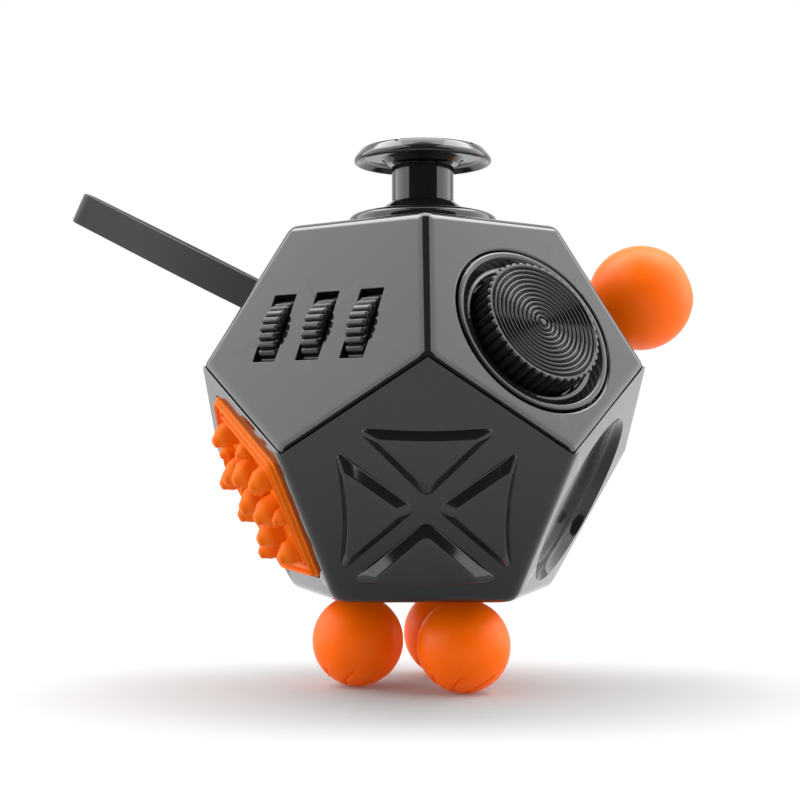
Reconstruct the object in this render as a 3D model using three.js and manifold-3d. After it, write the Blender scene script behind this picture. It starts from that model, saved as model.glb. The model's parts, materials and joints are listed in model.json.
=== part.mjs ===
// A twelve-sided finger toy: a hollow regular dodecahedron in two shells, with a toy on each face.
// Millimetres, +Z up, front towards -Y. The origin is the floor of the round gate recess in the bottom face.
import * as THREE from "three";
import { ConvexGeometry } from "three/addons/geometries/ConvexGeometry.js";
import { mergeVertices } from "three/addons/utils/BufferGeometryUtils.js";
import Module from "manifold-3d";

const wasm = await Module();
wasm.setup();

// ---------------------------------------------------------------- driving dimensions
const EDGE = 24; // edge of the sharp dodecahedron
const WALL = 2.2; // shell wall
const PARTING_GAP = 0.3; // between the two shells
const UPPER_EDGE_R = 1.0; // edge bevel of the upper shell
const LOWER_EDGE_R = 2.6; // edge bevel of the lower shell
const GAP = 0.3; // running gap between separate pieces
const GATE = { radius: 3.0, depth: 0.3 }; // recess in the middle of the bottom face

const JOY = { pivotDepth: 3.4, domeR: 9.0, domeWall: 1.0, stemR: 4.6, capR: 10.2, capLow: 10.0, capHigh: 12.3 };
const WHEEL = { radius: 6, width: 3.2, ribs: 24, depth: 4.55, pitch: 7.55, centre: [-0.47, -0.9] };
const DIAL = { radius: 9.2, topRadius: 9.05, height: 2.3, centre: [0.4, -1.5], bezelR: 12.3, wellR: 11.6 };
const STRAP = { width: 4.9, reach: 39.2, thick: 1.2, hingeHeight: 1.9, rise: 4 };
const BALL = { radius: 8.1, standOff: 13.3, poleAngle: 0.72 };
const PAD = { seatR: 15.8, padR: 15.4, seatDepth: 1.0 };
const DISH = { radius: 13.3, floorR: 12.2, depth: 3.0, centre: [0, -1] };
const FOOT = { radius: 6.65, ring: 9.6, drop: 6.8, firstAzimuth: -84, flatR: 0.9 };
const BUTTON = { radius: 2.7, ring: 7.6, height: 2.0, travel: 1.5 };
const ROCKER = { length: 13, width: 8, pivotDepth: 2.6, swing: 12 };
const ROLLER = { radius: 6.0, depth: 3.2 };

// ---------------------------------------------------------------- dodecahedron proportions
const INRADIUS = 1.11352 * EDGE;
const CENTRE = new THREE.Vector3(0, 0, INRADIUS - GATE.depth);
const FACE_TILT = 26.565;

const rad = THREE.MathUtils.degToRad;
const polar = (radius, azimuth, z) =>
  new THREE.Vector3(radius * Math.sin(rad(azimuth)), -radius * Math.cos(rad(azimuth)), z);
const FIFTHS = [0, 1, 2, 3, 4].map((k) => 72 * k);
const CORNERS = FIFTHS.flatMap((a) => [
  polar(0.85065, a, 1.11352),
  polar(1.37638, a, 0.26287),
  polar(1.37638, a + 36, -0.26287),
  polar(0.85065, a + 36, -1.11352),
]);
const SIDE_FACES = FIFTHS.flatMap((a) => [
  polar(Math.cos(rad(FACE_TILT)), a + 36, Math.sin(rad(FACE_TILT))),
  polar(Math.cos(rad(FACE_TILT)), a, -Math.sin(rad(FACE_TILT))),
]);
const FACE_NORMALS = [new THREE.Vector3(0, 0, 1), new THREE.Vector3(0, 0, -1), ...SIDE_FACES];

// A face's own frame: +X to the right seen from outside, +Y up the slope, +Z outwards, origin at its centre.
function faceMatrix(azimuth, side) {
  const normal = side === 0 ? null : polar(Math.cos(rad(FACE_TILT)), azimuth, side * Math.sin(rad(FACE_TILT)));
  const out = normal ?? new THREE.Vector3(0, 0, 1);
  const right = new THREE.Vector3(Math.cos(rad(azimuth)), Math.sin(rad(azimuth)), 0);
  const up = out.clone().cross(right);
  const place = out.clone().multiplyScalar(INRADIUS).add(CENTRE);
  return new THREE.Matrix4().makeBasis(right, up, out).setPosition(place);
}
const FACE = {
  joystick: faceMatrix(0, 0),
  wheels: faceMatrix(-36, 1),
  dial: faceMatrix(36, 1),
  strap: faceMatrix(-108, 1),
  ball: faceMatrix(108, 1),
  rocker: faceMatrix(180, 1),
  cross: faceMatrix(0, -1),
  spikes: faceMatrix(-72, -1),
  dish: faceMatrix(72, -1),
  buttons: faceMatrix(-144, -1),
  roller: faceMatrix(144, -1),
  base: new THREE.Matrix4().makeTranslation(0, 0, -GATE.depth),
  body: new THREE.Matrix4(),
};

// ---------------------------------------------------------------- solids
// Merges shared corners, drops flat triangles and turns the faces outwards.
function closed(geometry) {
  const bare = geometry.clone();
  bare.deleteAttribute("normal");
  bare.deleteAttribute("uv");
  const merged = mergeVertices(bare, 1e-4);
  const p = merged.attributes.position.array;
  const index = merged.index.array;
  const kept = [];
  let volume = 0;
  for (let i = 0; i < index.length; i += 3) {
    const [a, b, c] = [index[i], index[i + 1], index[i + 2]];
    if (a === b || b === c || c === a) continue;
    kept.push([a, b, c]);
    const cross = p[3 * b] * (p[3 * c + 1] * p[3 * a + 2] - p[3 * c + 2] * p[3 * a + 1]);
    const more = p[3 * b + 1] * (p[3 * c + 2] * p[3 * a] - p[3 * c] * p[3 * a + 2]);
    volume += cross + more + p[3 * b + 2] * (p[3 * c] * p[3 * a + 1] - p[3 * c + 1] * p[3 * a]);
  }
  const outward = volume > 0 ? kept : kept.map(([a, b, c]) => [a, c, b]);
  return { vertProperties: Float32Array.from(p), triVerts: Uint32Array.from(outward.flat()) };
}
const solid = (geometry) => new wasm.Manifold(new wasm.Mesh({ numProp: 3, ...closed(geometry) }));
function buffered(shape) {
  const mesh = shape.getMesh();
  const geometry = new THREE.BufferGeometry();
  geometry.setAttribute("position", new THREE.BufferAttribute(mesh.vertProperties.slice(), 3));
  geometry.setIndex(new THREE.BufferAttribute(mesh.triVerts.slice(), 1));
  return geometry;
}
const moved = (shape, matrix) => solid(buffered(shape).applyMatrix4(matrix));
const at = (x, y, z) => new THREE.Matrix4().makeTranslation(x, y, z);
const join = (...shapes) => shapes.reduce((a, b) => a.add(b));
const cut = (body, ...tools) => tools.reduce((a, b) => a.subtract(b), body);

// A profile of [radius, height] points turned about +Z.
function turned(profile, segments = 16) {
  const points = profile.map(([r, z]) => new THREE.Vector2(r, z));
  return solid(new THREE.LatheGeometry(points, segments).rotateX(Math.PI / 2));
}
const rod = (r, low, high, segments = 12) => turned([[0, low], [r, low], [r, high], [0, high]], segments);
const ring = (inner, outer, low, high, segments = 16) =>
  turned([[inner, low], [outer, low], [outer, high], [inner, high], [inner, low]], segments);
const block = (w, d, h, x = 0, y = 0, z = 0) => solid(new THREE.BoxGeometry(w, d, h).translate(x, y, z));
const along = (shape, axis) => {
  const turn = axis === "x" ? new THREE.Matrix4().makeRotationY(Math.PI / 2) : new THREE.Matrix4().makeRotationX(-Math.PI / 2);
  return moved(shape, turn);
};
// An outline in X and Y raised from low to high; inner outlines become holes.
function raised(outline, low, high, holes = []) {
  const points = outline.map(([x, y]) => new THREE.Vector2(x, y));
  const shape = new THREE.Shape(THREE.ShapeUtils.isClockWise(points) ? points.reverse() : points);
  shape.holes = holes.map((hole) => new THREE.Path(hole.map(([x, y]) => new THREE.Vector2(x, y))));
  const geometry = new THREE.ExtrudeGeometry(shape, { depth: high - low, bevelEnabled: false });
  return solid(geometry.translate(0, 0, low));
}
const polygon = (r, sides, turn = 90) =>
  Array.from({ length: sides }, (_, k) => {
    const angle = rad(turn + (360 * k) / sides);
    return [r * Math.cos(angle), r * Math.sin(angle)];
  });
// The convex solid around a list of points.
const hull = (points) => solid(new ConvexGeometry(points));
// A sphere profile of [radius, height] points between two angles from the pole.
const sphereArc = (r, from, to, steps, z = 0) =>
  Array.from({ length: steps + 1 }, (_, k) => {
    const angle = from + ((to - from) * k) / steps;
    return [Math.max(0, r * Math.sin(angle)), z + r * Math.cos(angle)];
  });

const root = new THREE.Group();
const groups = {};
for (const [name, matrix] of Object.entries(FACE)) {
  groups[name] = new THREE.Group();
  groups[name].applyMatrix4(matrix);
  root.add(groups[name]);
}
const FINISH = {
  gloss: { color: 0x2c2d2f, roughness: 0.25, metalness: 0 },
  dark: { color: 0x1b1c1e, roughness: 0.4, metalness: 0 },
  rubber: { color: 0x4c4c4c, roughness: 0.6, metalness: 0 },
  orange: { color: 0xff7a00, roughness: 0.45, metalness: 0 },
  inner: { color: 0x8a8d90, roughness: 0.5, metalness: 0 },
  steel: { color: 0xb4b6ba, roughness: 0.3, metalness: 1 },
};
function add(name, face, shape, finish) {
  const part = new THREE.Mesh(buffered(shape), new THREE.MeshStandardMaterial(FINISH[finish]));
  part.name = name;
  groups[face].add(part);
}
// A pan-head screw: its tip points along +Z and its head sits below z = 0.
const screw = (length) => turned([[0, -1.1], [1.3, -1.1], [1.7, -0.5], [1.7, 0], [0.8, 0], [0.8, length], [0, length]], 8);

// ---------------------------------------------------------------- shells
// The solid inside all the faces moved in by depth, with its edges bevelled as for radius r.
function rounded(r, depth = 0) {
  const points = [];
  for (const corner of CORNERS) {
    const touching = FACE_NORMALS.filter((n) => n.dot(corner) > 1.05).map((n) => n.clone());
    const inset = corner.clone().multiplyScalar(EDGE * (1 - (depth + r) / INRADIUS)).add(CENTRE);
    if (r === 0) {
      points.push(inset);
      continue;
    }
    for (const n of touching) points.push(inset.clone().addScaledVector(n, r));
  }
  return hull(points);
}
// The half space above (side 1) or below (side -1) the zigzag belt, as a star from the centre.
function beltHalf(side, gap) {
  const middle = CENTRE.clone().add(new THREE.Vector3(0, 0, (side * gap) / 2));
  const belt = FIFTHS.flatMap((a) => [polar(1.37638, a, 0.26287), polar(1.37638, a + 36, -0.26287)]);
  const rim = belt.map((p) => p.clone().multiplyScalar(2 * EDGE).add(middle));
  const far = rim.map((p) => new THREE.Vector3(p.x, p.y, CENTRE.z + side * 4 * EDGE));
  const cap = CENTRE.clone().add(new THREE.Vector3(0, 0, side * 4 * EDGE));
  const corners = [];
  rim.forEach((p, k) => {
    const next = (k + 1) % rim.length;
    corners.push(middle, p, rim[next], p, far[k], far[next], p, far[next], rim[next], far[k], cap, far[next]);
  });
  return solid(new THREE.BufferGeometry().setFromPoints(corners));
}
const onFace = (face, shape) => moved(shape, FACE[face]);

const hollow = rounded(0, WALL);
const frustum = (points, low, high, shrink) => {
  const cx = points.reduce((sum, p) => sum + p[0], 0) / points.length;
  const cy = points.reduce((sum, p) => sum + p[1], 0) / points.length;
  const top = points.map(([x, y]) => {
    const reach = Math.hypot(x - cx, y - cy);
    return new THREE.Vector3(cx + ((x - cx) * (reach - shrink)) / reach, cy + ((y - cy) * (reach - shrink)) / reach, high);
  });
  return hull([...points.map(([x, y]) => new THREE.Vector3(x, y, low)), ...top]);
};

// Three slots, each widened inside so that its wheel drops in from behind.
const wheelsAt = [-1, 0, 1].map((k) => [WHEEL.centre[0] + k * WHEEL.pitch, WHEEL.centre[1], -WHEEL.depth]);
const slots = wheelsAt.map(([x, y, z]) => {
  const mouth = block(WHEEL.width + 0.7, 10.7, 8, x, y, 0);
  const room = moved(along(rod(WHEEL.radius + 0.45, -1.95, 1.95, 16), "x"), at(x, y, z));
  return join(mouth, room);
});
// Blind pilot holes for the screws that hold the mechanisms from inside.
const pilot = rod(1.1, -3, -0.9, 12);
const joyScrewsAt = [[-12.1, 0], [12.1, 0]];
const wheelScrewsAt = [-6, 6].map((x) => [WHEEL.centre[0] + x, WHEEL.centre[1] + 9.6]);
const buttonScrewsAt = [[-11, 0], [11, 0]];
const upperCuts = [
  onFace("joystick", rod(9.8, -6, 3, 24)),
  ...joyScrewsAt.map(([x, y]) => onFace("joystick", moved(pilot, at(x, y, 0)))),
  ...wheelScrewsAt.map(([x, y]) => onFace("wheels", moved(pilot, at(x, y, 0)))),
  ...slots.map((slot) => onFace("wheels", slot)),
  onFace("dial", moved(rod(DIAL.bezelR + GAP, -6, 3, 24), at(...DIAL.centre, 0))),
  onFace("strap", block(7.4, STRAP.width + 1.6, 12, 0, STRAP.rise, 0)),
  onFace("ball", rod(2.9, -6, 3)),
  onFace("rocker", block(ROCKER.width + 3.6, ROCKER.length + 3.6, 12)),
];
add("upper_shell", "body", cut(rounded(UPPER_EDGE_R).intersect(beltHalf(1, PARTING_GAP)), hollow, ...upperCuts), "gloss");

// The four raised pads that leave an X-shaped valley between them.
const crossPads = [
  [[-8, 8.9], [-7.3, 9.9], [7.3, 9.9], [8, 8.9], [0.5, 0.4], [-0.5, 0.4]],
  [[11.3, 5.2], [10.6, 6.4], [2.5, -1.2], [2.5, -2.3], [10.4, -10.6], [11.2, -9.8]],
  [[-11.3, 5.2], [-10.6, 6.4], [-2.5, -1.2], [-2.5, -2.3], [-10.4, -10.6], [-11.2, -9.8]],
  [[-8, -12.2], [-7.3, -13.2], [7.3, -13.2], [8, -12.2], [0.5, -4.5], [-0.5, -4.5]],
];
const pads = crossPads.map((outline) => onFace("cross", frustum(outline, -0.5, 1.3, 0.8)));
const dishWell = turned([[0, -DISH.depth], [DISH.floorR, -DISH.depth], [DISH.radius, -0.8], [DISH.radius, 2], [0, 2]], 24);
const dishBack = turned([[0, -DISH.depth - 1.6], [DISH.floorR + 0.6, -DISH.depth - 1.6], [DISH.radius + 0.8, -1], [0, -1]], 24);
const dishAt = at(...DISH.centre, 0);
const seat = raised(polygon(PAD.seatR, 5), -PAD.seatDepth, 3);
const feetAt = [0, 1, 2].map((k) => polar(FOOT.ring, FOOT.firstAzimuth + 120 * k, 0));
const buttonsAt = [[0, 0], ...polygon(BUTTON.ring, 4, 45)];
const lowerCuts = [
  onFace("dish", moved(dishWell, dishAt)),
  onFace("spikes", seat),
  onFace("spikes", rod(5, -6, 1)),
  ...feetAt.map((p) => onFace("base", moved(rod(2.3, -2, 6), at(p.x, p.y, 0)))),
  onFace("base", rod(GATE.radius, -2, GATE.depth, 20)),
  ...buttonsAt.map(([x, y]) => onFace("buttons", moved(rod(BUTTON.radius + GAP, -6, 3), at(x, y, 0)))),
  ...buttonScrewsAt.map(([x, y]) => onFace("buttons", moved(pilot, at(x, y, 0)))),
  onFace("roller", rod(9.3, -6, 3, 20)),
];
const lowerBody = cut(rounded(LOWER_EDGE_R).intersect(beltHalf(-1, PARTING_GAP)), hollow);
const lowerShell = cut(join(lowerBody, ...pads, onFace("dish", moved(dishBack, dishAt))), ...lowerCuts);
add("lower_shell", "body", lowerShell, "gloss");

// ---------------------------------------------------------------- joystick
const joyPivot = -JOY.pivotDepth;
const skirtAngle = 1.19;
const stemAngle = Math.asin(JOY.stemR / JOY.domeR);
const domeInner = sphereArc(JOY.domeR - JOY.domeWall, Math.asin(2.2 / 8), skirtAngle, 3, joyPivot);
const domeOuter = sphereArc(JOY.domeR, skirtAngle, stemAngle, 3, joyPivot);
const stick = turned([
  [0, joyPivot - 4], [2.2, joyPivot - 4], ...domeInner, ...domeOuter,
  [JOY.stemR, 9.6], [2, 9.6], [2, 10.9], [0, 10.9],
]);
add("joystick_stick", "joystick", cut(stick, moved(along(rod(1, -4, 4), "y"), at(0, 0, joyPivot))), "gloss");
const cap = turned([
  [0, 11.2], [2.4, 11.2], [2.4, 9.9], [5.4, 9.9], [6.2, 10.7], [9.3, 10.5], [9.7, JOY.capLow], [10.1, 10.1],
  [JOY.capR, 10.5], [10, 11.2], [9, 12.1], [8.6, JOY.capHigh], [7.4, 12.2], [0, 12],
], 20);
add("joystick_cap", "joystick", cap, "gloss");
const collar = turned([[8.65, 0.3], [11, 0.3], [11, 1.8], [10.6, 2.2], [7.7, 2.6], [7.3, 2.5], [8.65, 0.3]], 20);
add("joystick_collar", "joystick", collar, "gloss");
const crossPin = moved(along(rod(0.85, -4.7, 4.7), "y"), at(0, 0, joyPivot));
add("joystick_pin", "joystick", crossPin, "steel");
const trunnions = moved(along(join(rod(0.9, -6.6, -4.2, 12), rod(0.9, 4.2, 6.6, 12)), "x"), at(0, 0, joyPivot));
const gimbalRing = join(ring(3.4, 4.9, joyPivot - 1.2, joyPivot + 1.2), trunnions);
add("joystick_gimbal", "joystick", cut(gimbalRing, moved(along(rod(1.05, -6, 6), "y"), at(0, 0, joyPivot))), "inner");
const posts = join(block(2, 3.4, 6.6, -6.4, 0, joyPivot - 2), block(2, 3.4, 6.6, 6.4, 0, joyPivot - 2));
const housing = join(rod(10.2, -9.4, -8.4), ring(9.45, 10.2, -9.4, -2.5), ring(9.45, 13.8, -3.7, -2.5, 20), posts);
const joyHoles = joyScrewsAt.map(([x, y]) => moved(rod(1.1, -5, -1, 12), at(x, y, 0)));
const bearings = moved(along(rod(1.1, -8, 8), "x"), at(0, 0, joyPivot));
const bearing = bearings.intersect(block(15.4, 4, 4, 0, 0, joyPivot));
add("joystick_housing", "joystick", cut(housing, bearing, rod(1.5, -10, -8, 12), ...joyHoles), "inner");

class Helix extends THREE.Curve {
  constructor(radius, low, high, turns) {
    super();
    Object.assign(this, { radius, low, high, turns });
  }
  getPoint(t, target = new THREE.Vector3()) {
    const angle = 2 * Math.PI * this.turns * t;
    const z = this.low + (this.high - this.low) * t;
    return target.set(this.radius * Math.cos(angle), this.radius * Math.sin(angle), z);
  }
}
function wound(radius, wire, low, high, turns) {
  const section = new THREE.Shape(polygon(wire, 4).map(([x, y]) => new THREE.Vector2(x, y)));
  const path = new Helix(radius, low + wire, high - wire, turns);
  return solid(new THREE.ExtrudeGeometry(section, { steps: 12 * turns, extrudePath: path }));
}
add("joystick_spring", "joystick", wound(4.2, 0.3, -8.1, -6.3, 2), "steel");
joyScrewsAt.forEach(([x, y], k) => add(`joystick_screw_${k + 1}`, "joystick", moved(screw(2.6), at(x, y, -3.9)), "steel"));

// ---------------------------------------------------------------- three ribbed wheels
const ribbed = (r, notch, count) =>
  Array.from({ length: 2 * count }, (_, k) => {
    const angle = (Math.PI * k) / count;
    const reach = k % 2 ? r - notch : r;
    return [reach * Math.cos(angle), reach * Math.sin(angle)];
  });
const wheelNames = ["left", "middle", "right"];
const half = WHEEL.width / 2;
const wheel = along(raised(ribbed(WHEEL.radius, 0.5, WHEEL.ribs), -half, half, [polygon(1.15, 12)]), "x");
wheelsAt.forEach(([x, y, z], k) => add(`wheel_${wheelNames[k]}`, "wheels", moved(wheel, at(x, y, z)), "dark"));
const wheelMiddle = at(...wheelsAt[1]);
add("wheel_axle", "wheels", moved(along(rod(1, -12.4, 12.4), "x"), wheelMiddle), "steel");
const rails = cut(block(25.4, 15.8, 3.9, 0, 0, 0.1), block(22.4, 13.3, 6));
const webs = join(block(1.2, 14, 3.9, -WHEEL.pitch / 2, 0, 0.1), block(1.2, 14, 3.9, WHEEL.pitch / 2, 0, 0.1));
const ears = [-6, 6].map((x) => cut(block(4, 4.8, 1.2, x, 9.4, 1.45), moved(rod(1.1, 0, 3, 12), at(x, 9.6, 0))));
const axleHole = along(rod(1.25, -14, 14), "x");
add("wheel_frame", "wheels", moved(cut(join(rails, webs, ...ears), axleHole), wheelMiddle), "inner");
wheelScrewsAt.forEach(([x, y], k) => add(`wheel_screw_${k + 1}`, "wheels", moved(screw(2.6), at(x, y, -4)), "steel"));
// Leaf fingers that click against the ribs: a strip under the frame with one bent finger for each wheel.
const finger = along(raised([[2.2, -6.6], [4.7, -5.2], [4.4, -4.5], [5, -4.6], [5.2, -5.1], [2.6, -7]], -1.2, 1.2), "x");
const fingers = [-1, 0, 1].map((k) => moved(finger, at(k * WHEEL.pitch, 0, 0)));
const strip = block(20, 2, 0.4, 0, -7.4, -2.4);
add("wheel_detent_spring", "wheels", moved(join(strip, ...fingers), wheelMiddle), "steel");

// ---------------------------------------------------------------- dial
const dialAt = at(...DIAL.centre, 0);
const bezelCup = turned([
  [3, -4.2], [12, -4.2], [13.3, -3.7], [13.3, -2.5], [DIAL.bezelR, -2.5], [DIAL.bezelR, 0], [12.2, 0.25],
  [DIAL.wellR, 0.25], [10, -1.6], [9.7, -1.8], [9.7, -3.2], [3, -3.2], [3, -4.2],
], 24);
add("dial_bezel", "dial", moved(bezelCup, dialAt), "gloss");
const knobBody = join(raised(ribbed(DIAL.radius, 0.25, 24), -2.9, DIAL.height), rod(2.7, -5, 0));
const knob = cut(knobBody, ring(4.5, 8.2, -4, 0.8), rod(1.1, -6, -2));
add("dial_knob", "dial", moved(knob, dialAt), "gloss");
const coned = turned([[4.9, -2.9], [5.4, -2.9], [7.8, -1.4], [7.3, -1.4], [4.9, -2.9]]);
add("dial_cone_washer", "dial", moved(coned, dialAt), "steel");
add("dial_retaining_washer", "dial", moved(ring(1.1, 4.2, -5.8, -5.2), dialAt), "steel");
add("dial_screw", "dial", moved(screw(3.2), at(...DIAL.centre, -6)), "steel");

// ---------------------------------------------------------------- strap loop
const rootR = 1.7;
const tipZ = STRAP.reach - rootR;
const flare = (z) => rootR + 1.1 * Math.sin((Math.PI * (z - STRAP.hingeHeight)) / (tipZ - STRAP.hingeHeight));
const steps = Array.from({ length: 13 }, (_, k) => STRAP.hingeHeight + ((tipZ - STRAP.hingeHeight) * k) / 12);
const endArc = (z, r, from) =>
  [1, 2, 3, 4, 5].map((k) => {
    const angle = from + (Math.PI * k) / 6;
    return [r * Math.cos(angle), z + r * Math.sin(angle)];
  });
const rightSide = steps.map((z) => [flare(z), z]);
const leftSide = [...steps].reverse().map((z) => [-flare(z), z]);
const outer = [...rightSide, ...endArc(tipZ, rootR, 0), ...leftSide, ...endArc(STRAP.hingeHeight, rootR, Math.PI)];
const gapSteps = steps.slice(1, -1);
const inner = [
  ...gapSteps.map((z) => [flare(z) - STRAP.thick, z]),
  ...[...gapSteps].reverse().map((z) => [STRAP.thick - flare(z), z]),
];
const flip = (points) => points.map(([x, z]) => [x, -z]);
const strap = along(raised(flip(outer), -STRAP.width / 2, STRAP.width / 2, [flip(inner)]), "y");
const strapAt = at(0, STRAP.rise, 0);
add("strap_loop", "strap", moved(strap, strapAt), "rubber");
const anchor = join(block(6.8, 5.9, 3, 0, STRAP.rise, -1.8), block(10, 9, 1.6, 0, STRAP.rise, -3.3));
const anchorPinAt = at(0, STRAP.rise, -1.6);
add("strap_anchor", "strap", cut(anchor, moved(along(rod(1.1, -6, 6), "y"), anchorPinAt)), "rubber");
add("strap_anchor_pin", "strap", moved(along(rod(0.8, -2.8, 2.8), "y"), anchorPinAt), "steel");

// ---------------------------------------------------------------- side ball
const neckTop = BALL.standOff - BALL.radius + 0.3;
const stem = turned([
  [0, -5], [2, -5], [2, -3.8], [1.4, -3.8], [1.4, -2.9], [2.6, -2.9], [2.6, 0.3], [3.8, 0.3], [3.8, 0.9],
  [2.4, 1.4], [2.4, neckTop], [1.3, neckTop], [1.3, neckTop + 7.6], [0, neckTop + 7.6],
]);
add("side_ball_stem", "ball", stem, "dark");
const poleDepth = 0.3;
const poleEdge = BALL.poleAngle;
const globe = turned([
  [0, BALL.standOff + BALL.radius - poleDepth],
  ...sphereArc(BALL.radius - poleDepth, 0.2, poleEdge - 0.04, 1, BALL.standOff),
  ...sphereArc(BALL.radius, poleEdge, 2.82, 7, BALL.standOff),
  [1.6, neckTop + 0.3], [1.6, neckTop + 8], [0, neckTop + 8],
], 20);
add("side_ball", "ball", globe, "orange");
add("side_ball_clip", "ball", ring(1.6, 4.2, -3.6, -3.1), "steel");

// ---------------------------------------------------------------- spike pad
const spikeProfile = (base, height) => turned([[0, 0.3], [base, 0.3], [base * 0.4, height * 0.94], [0, height]], 6);
const around = (r, turn) => polygon(r, 5, turn);
const bigSpikes = [[0, 0], ...around(5.4, -90), ...around(10.4, 90)];
const smallSpikes = [...around(9.4, -90), ...around(4.6, 90)];
const padBody = join(
  raised(polygon(PAD.padR, 5), -0.7, 0.5),
  raised(polygon(PAD.padR, 5), 0, 1.2, [polygon(PAD.padR - 1.9, 5)]),
  turned([[0, -5.2], [2.4, -5.2], [3, -4.2], [2.2, -4.2], [2.2, -2.4], [4.6, -2.4], [4.6, 0], [0, 0]]),
  ...bigSpikes.map(([x, y]) => moved(spikeProfile(2.3, 5.4), at(x, y, 0))),
  ...smallSpikes.map(([x, y]) => moved(spikeProfile(1.3, 2.6), at(x, y, 0))),
);
add("spike_pad", "spikes", padBody, "orange");
add("spike_pad_retainer", "spikes", ring(2.5, 6.8, -3.9, -2.6), "inner");

// ---------------------------------------------------------------- three feet balls
const footNames = ["left", "right", "back"];
const footFlat = Math.asin(FOOT.flatR / FOOT.radius);
const foot = turned([
  [0, 4.6], [1.9, 4.6], [1.9, 3.5], [1.3, 3.5], [1.3, 2.6], [1.9, 2.6],
  ...sphereArc(FOOT.radius, Math.asin(1.9 / FOOT.radius), Math.PI - footFlat, 8, -FOOT.drop),
  [0, -FOOT.drop - FOOT.radius * Math.cos(footFlat)],
]);
feetAt.forEach((p, k) => {
  add(`foot_ball_${footNames[k]}`, "base", moved(foot, at(p.x, p.y, 0)), "orange");
  add(`foot_clip_${footNames[k]}`, "base", moved(ring(1.6, 3.4, 2.75, 3.35), at(p.x, p.y, 0)), "steel");
});

// ---------------------------------------------------------------- rocker switch
const rockerPivot = at(0, 0, -ROCKER.pivotDepth);
const [rockerW, rockerL] = [ROCKER.width, ROCKER.length];
const bezelBody = join(block(rockerW + 3, rockerL + 3, 3.9, 0, 0, -1.45), block(rockerW + 6, rockerL + 6, 0.8, 0, 0, 0.7));
const rockerHoles = moved(along(rod(1, -7, 7), "x"), rockerPivot);
add("rocker_bezel", "rocker", cut(bezelBody, block(rockerW + 0.6, rockerL + 0.6, 12), rockerHoles), "dark");
const side = [[5.3, 3.5], [6, 1.2], [4.5, -2]];
const rockerOutline = [...side, ...side.map(([y, z]) => [-y, z]).reverse(), [0, 2.9]].map(([y, z]) => [-z, y]);
const rockerBody = cut(along(raised(rockerOutline, -rockerW / 2, rockerW / 2), "x"), along(rod(1, -7, 7), "x"));
const tipped = new THREE.Matrix4().makeRotationX(rad(-ROCKER.swing)).premultiply(rockerPivot);
add("rocker", "rocker", moved(rockerBody, tipped), "gloss");
add("rocker_pin", "rocker", moved(along(rod(0.8, -5.3, 5.3), "x"), rockerPivot), "steel");
const leaf = [[3.8, -7.6], [6.3, -6.2], [6.8, 0], [6.3, 6.2], [3.8, 7.6]];
const leafOutline = [...leaf, ...leaf.map(([z, y]) => [z + 0.5, y * 1.02]).reverse()];
add("rocker_spring", "rocker", along(raised(leafOutline, -1.8, 1.8), "x"), "steel");

// ---------------------------------------------------------------- five push buttons
const buttonNames = ["centre", "upper_right", "upper_left", "lower_left", "lower_right"];
const button = turned([
  [0, -3.4], [3.3, -3.4], [3.3, -2.5], [BUTTON.radius, -2.5], [BUTTON.radius, 1.4], [2.2, BUTTON.height], [0, BUTTON.height + 0.2],
], 12);
buttonsAt.forEach(([x, y], k) => add(`button_${buttonNames[k]}`, "buttons", moved(button, at(x, y, 0)), "gloss"));
const postHoles = buttonScrewsAt.map(([x, y]) => moved(rod(2.3, -7, -4), at(x, y, 0)));
add("button_membrane", "buttons", cut(rod(11.6, -5.9, -5.2), ...postHoles), "orange");
const boards = join(rod(11.4, -7.3, -6.2), ...buttonScrewsAt.map(([x, y]) => moved(rod(2, -7.3, -2.5), at(x, y, 0))));
const boardHoles = buttonScrewsAt.map(([x, y]) => moved(rod(1.1, -8, -2, 12), at(x, y, 0)));
add("button_plate", "buttons", cut(boards, ...boardHoles), "inner");
buttonScrewsAt.forEach(([x, y], k) => add(`button_screw_${k + 1}`, "buttons", moved(screw(6.2), at(x, y, -7.5)), "steel"));

// ---------------------------------------------------------------- rolling ball
add("roller_ball", "roller", turned(sphereArc(ROLLER.radius, 0, Math.PI, 8, -ROLLER.depth)), "orange");
const rollerBezel = turned([
  [6.5, -3.4], [9, -3.4], [9, 0.3], [10.4, 0.3], [10.4, 0.8], [10, 1.2], [4.7, 1.2], [5.5, 0], [6.4, -2], [6.5, -3.4],
], 20);
add("roller_bezel", "roller", rollerBezel, "gloss");
const rollerSocket = turned([
  [1, -10.7], [5.5, -10.7], [8.2, -8], [8.2, -4.7], [10.6, -4.7], [10.6, -3.7],
  ...sphereArc(ROLLER.radius + GAP + 0.1, 1.66, 2.98, 4, -ROLLER.depth), [1, -10.7],
]);
add("roller_socket", "roller", rollerSocket, "inner");

export default root;
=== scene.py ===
"""A twelve-sided finger toy: a hollow dodecahedron in two glossy shells with a toy on every face."""

import json
import math

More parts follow.
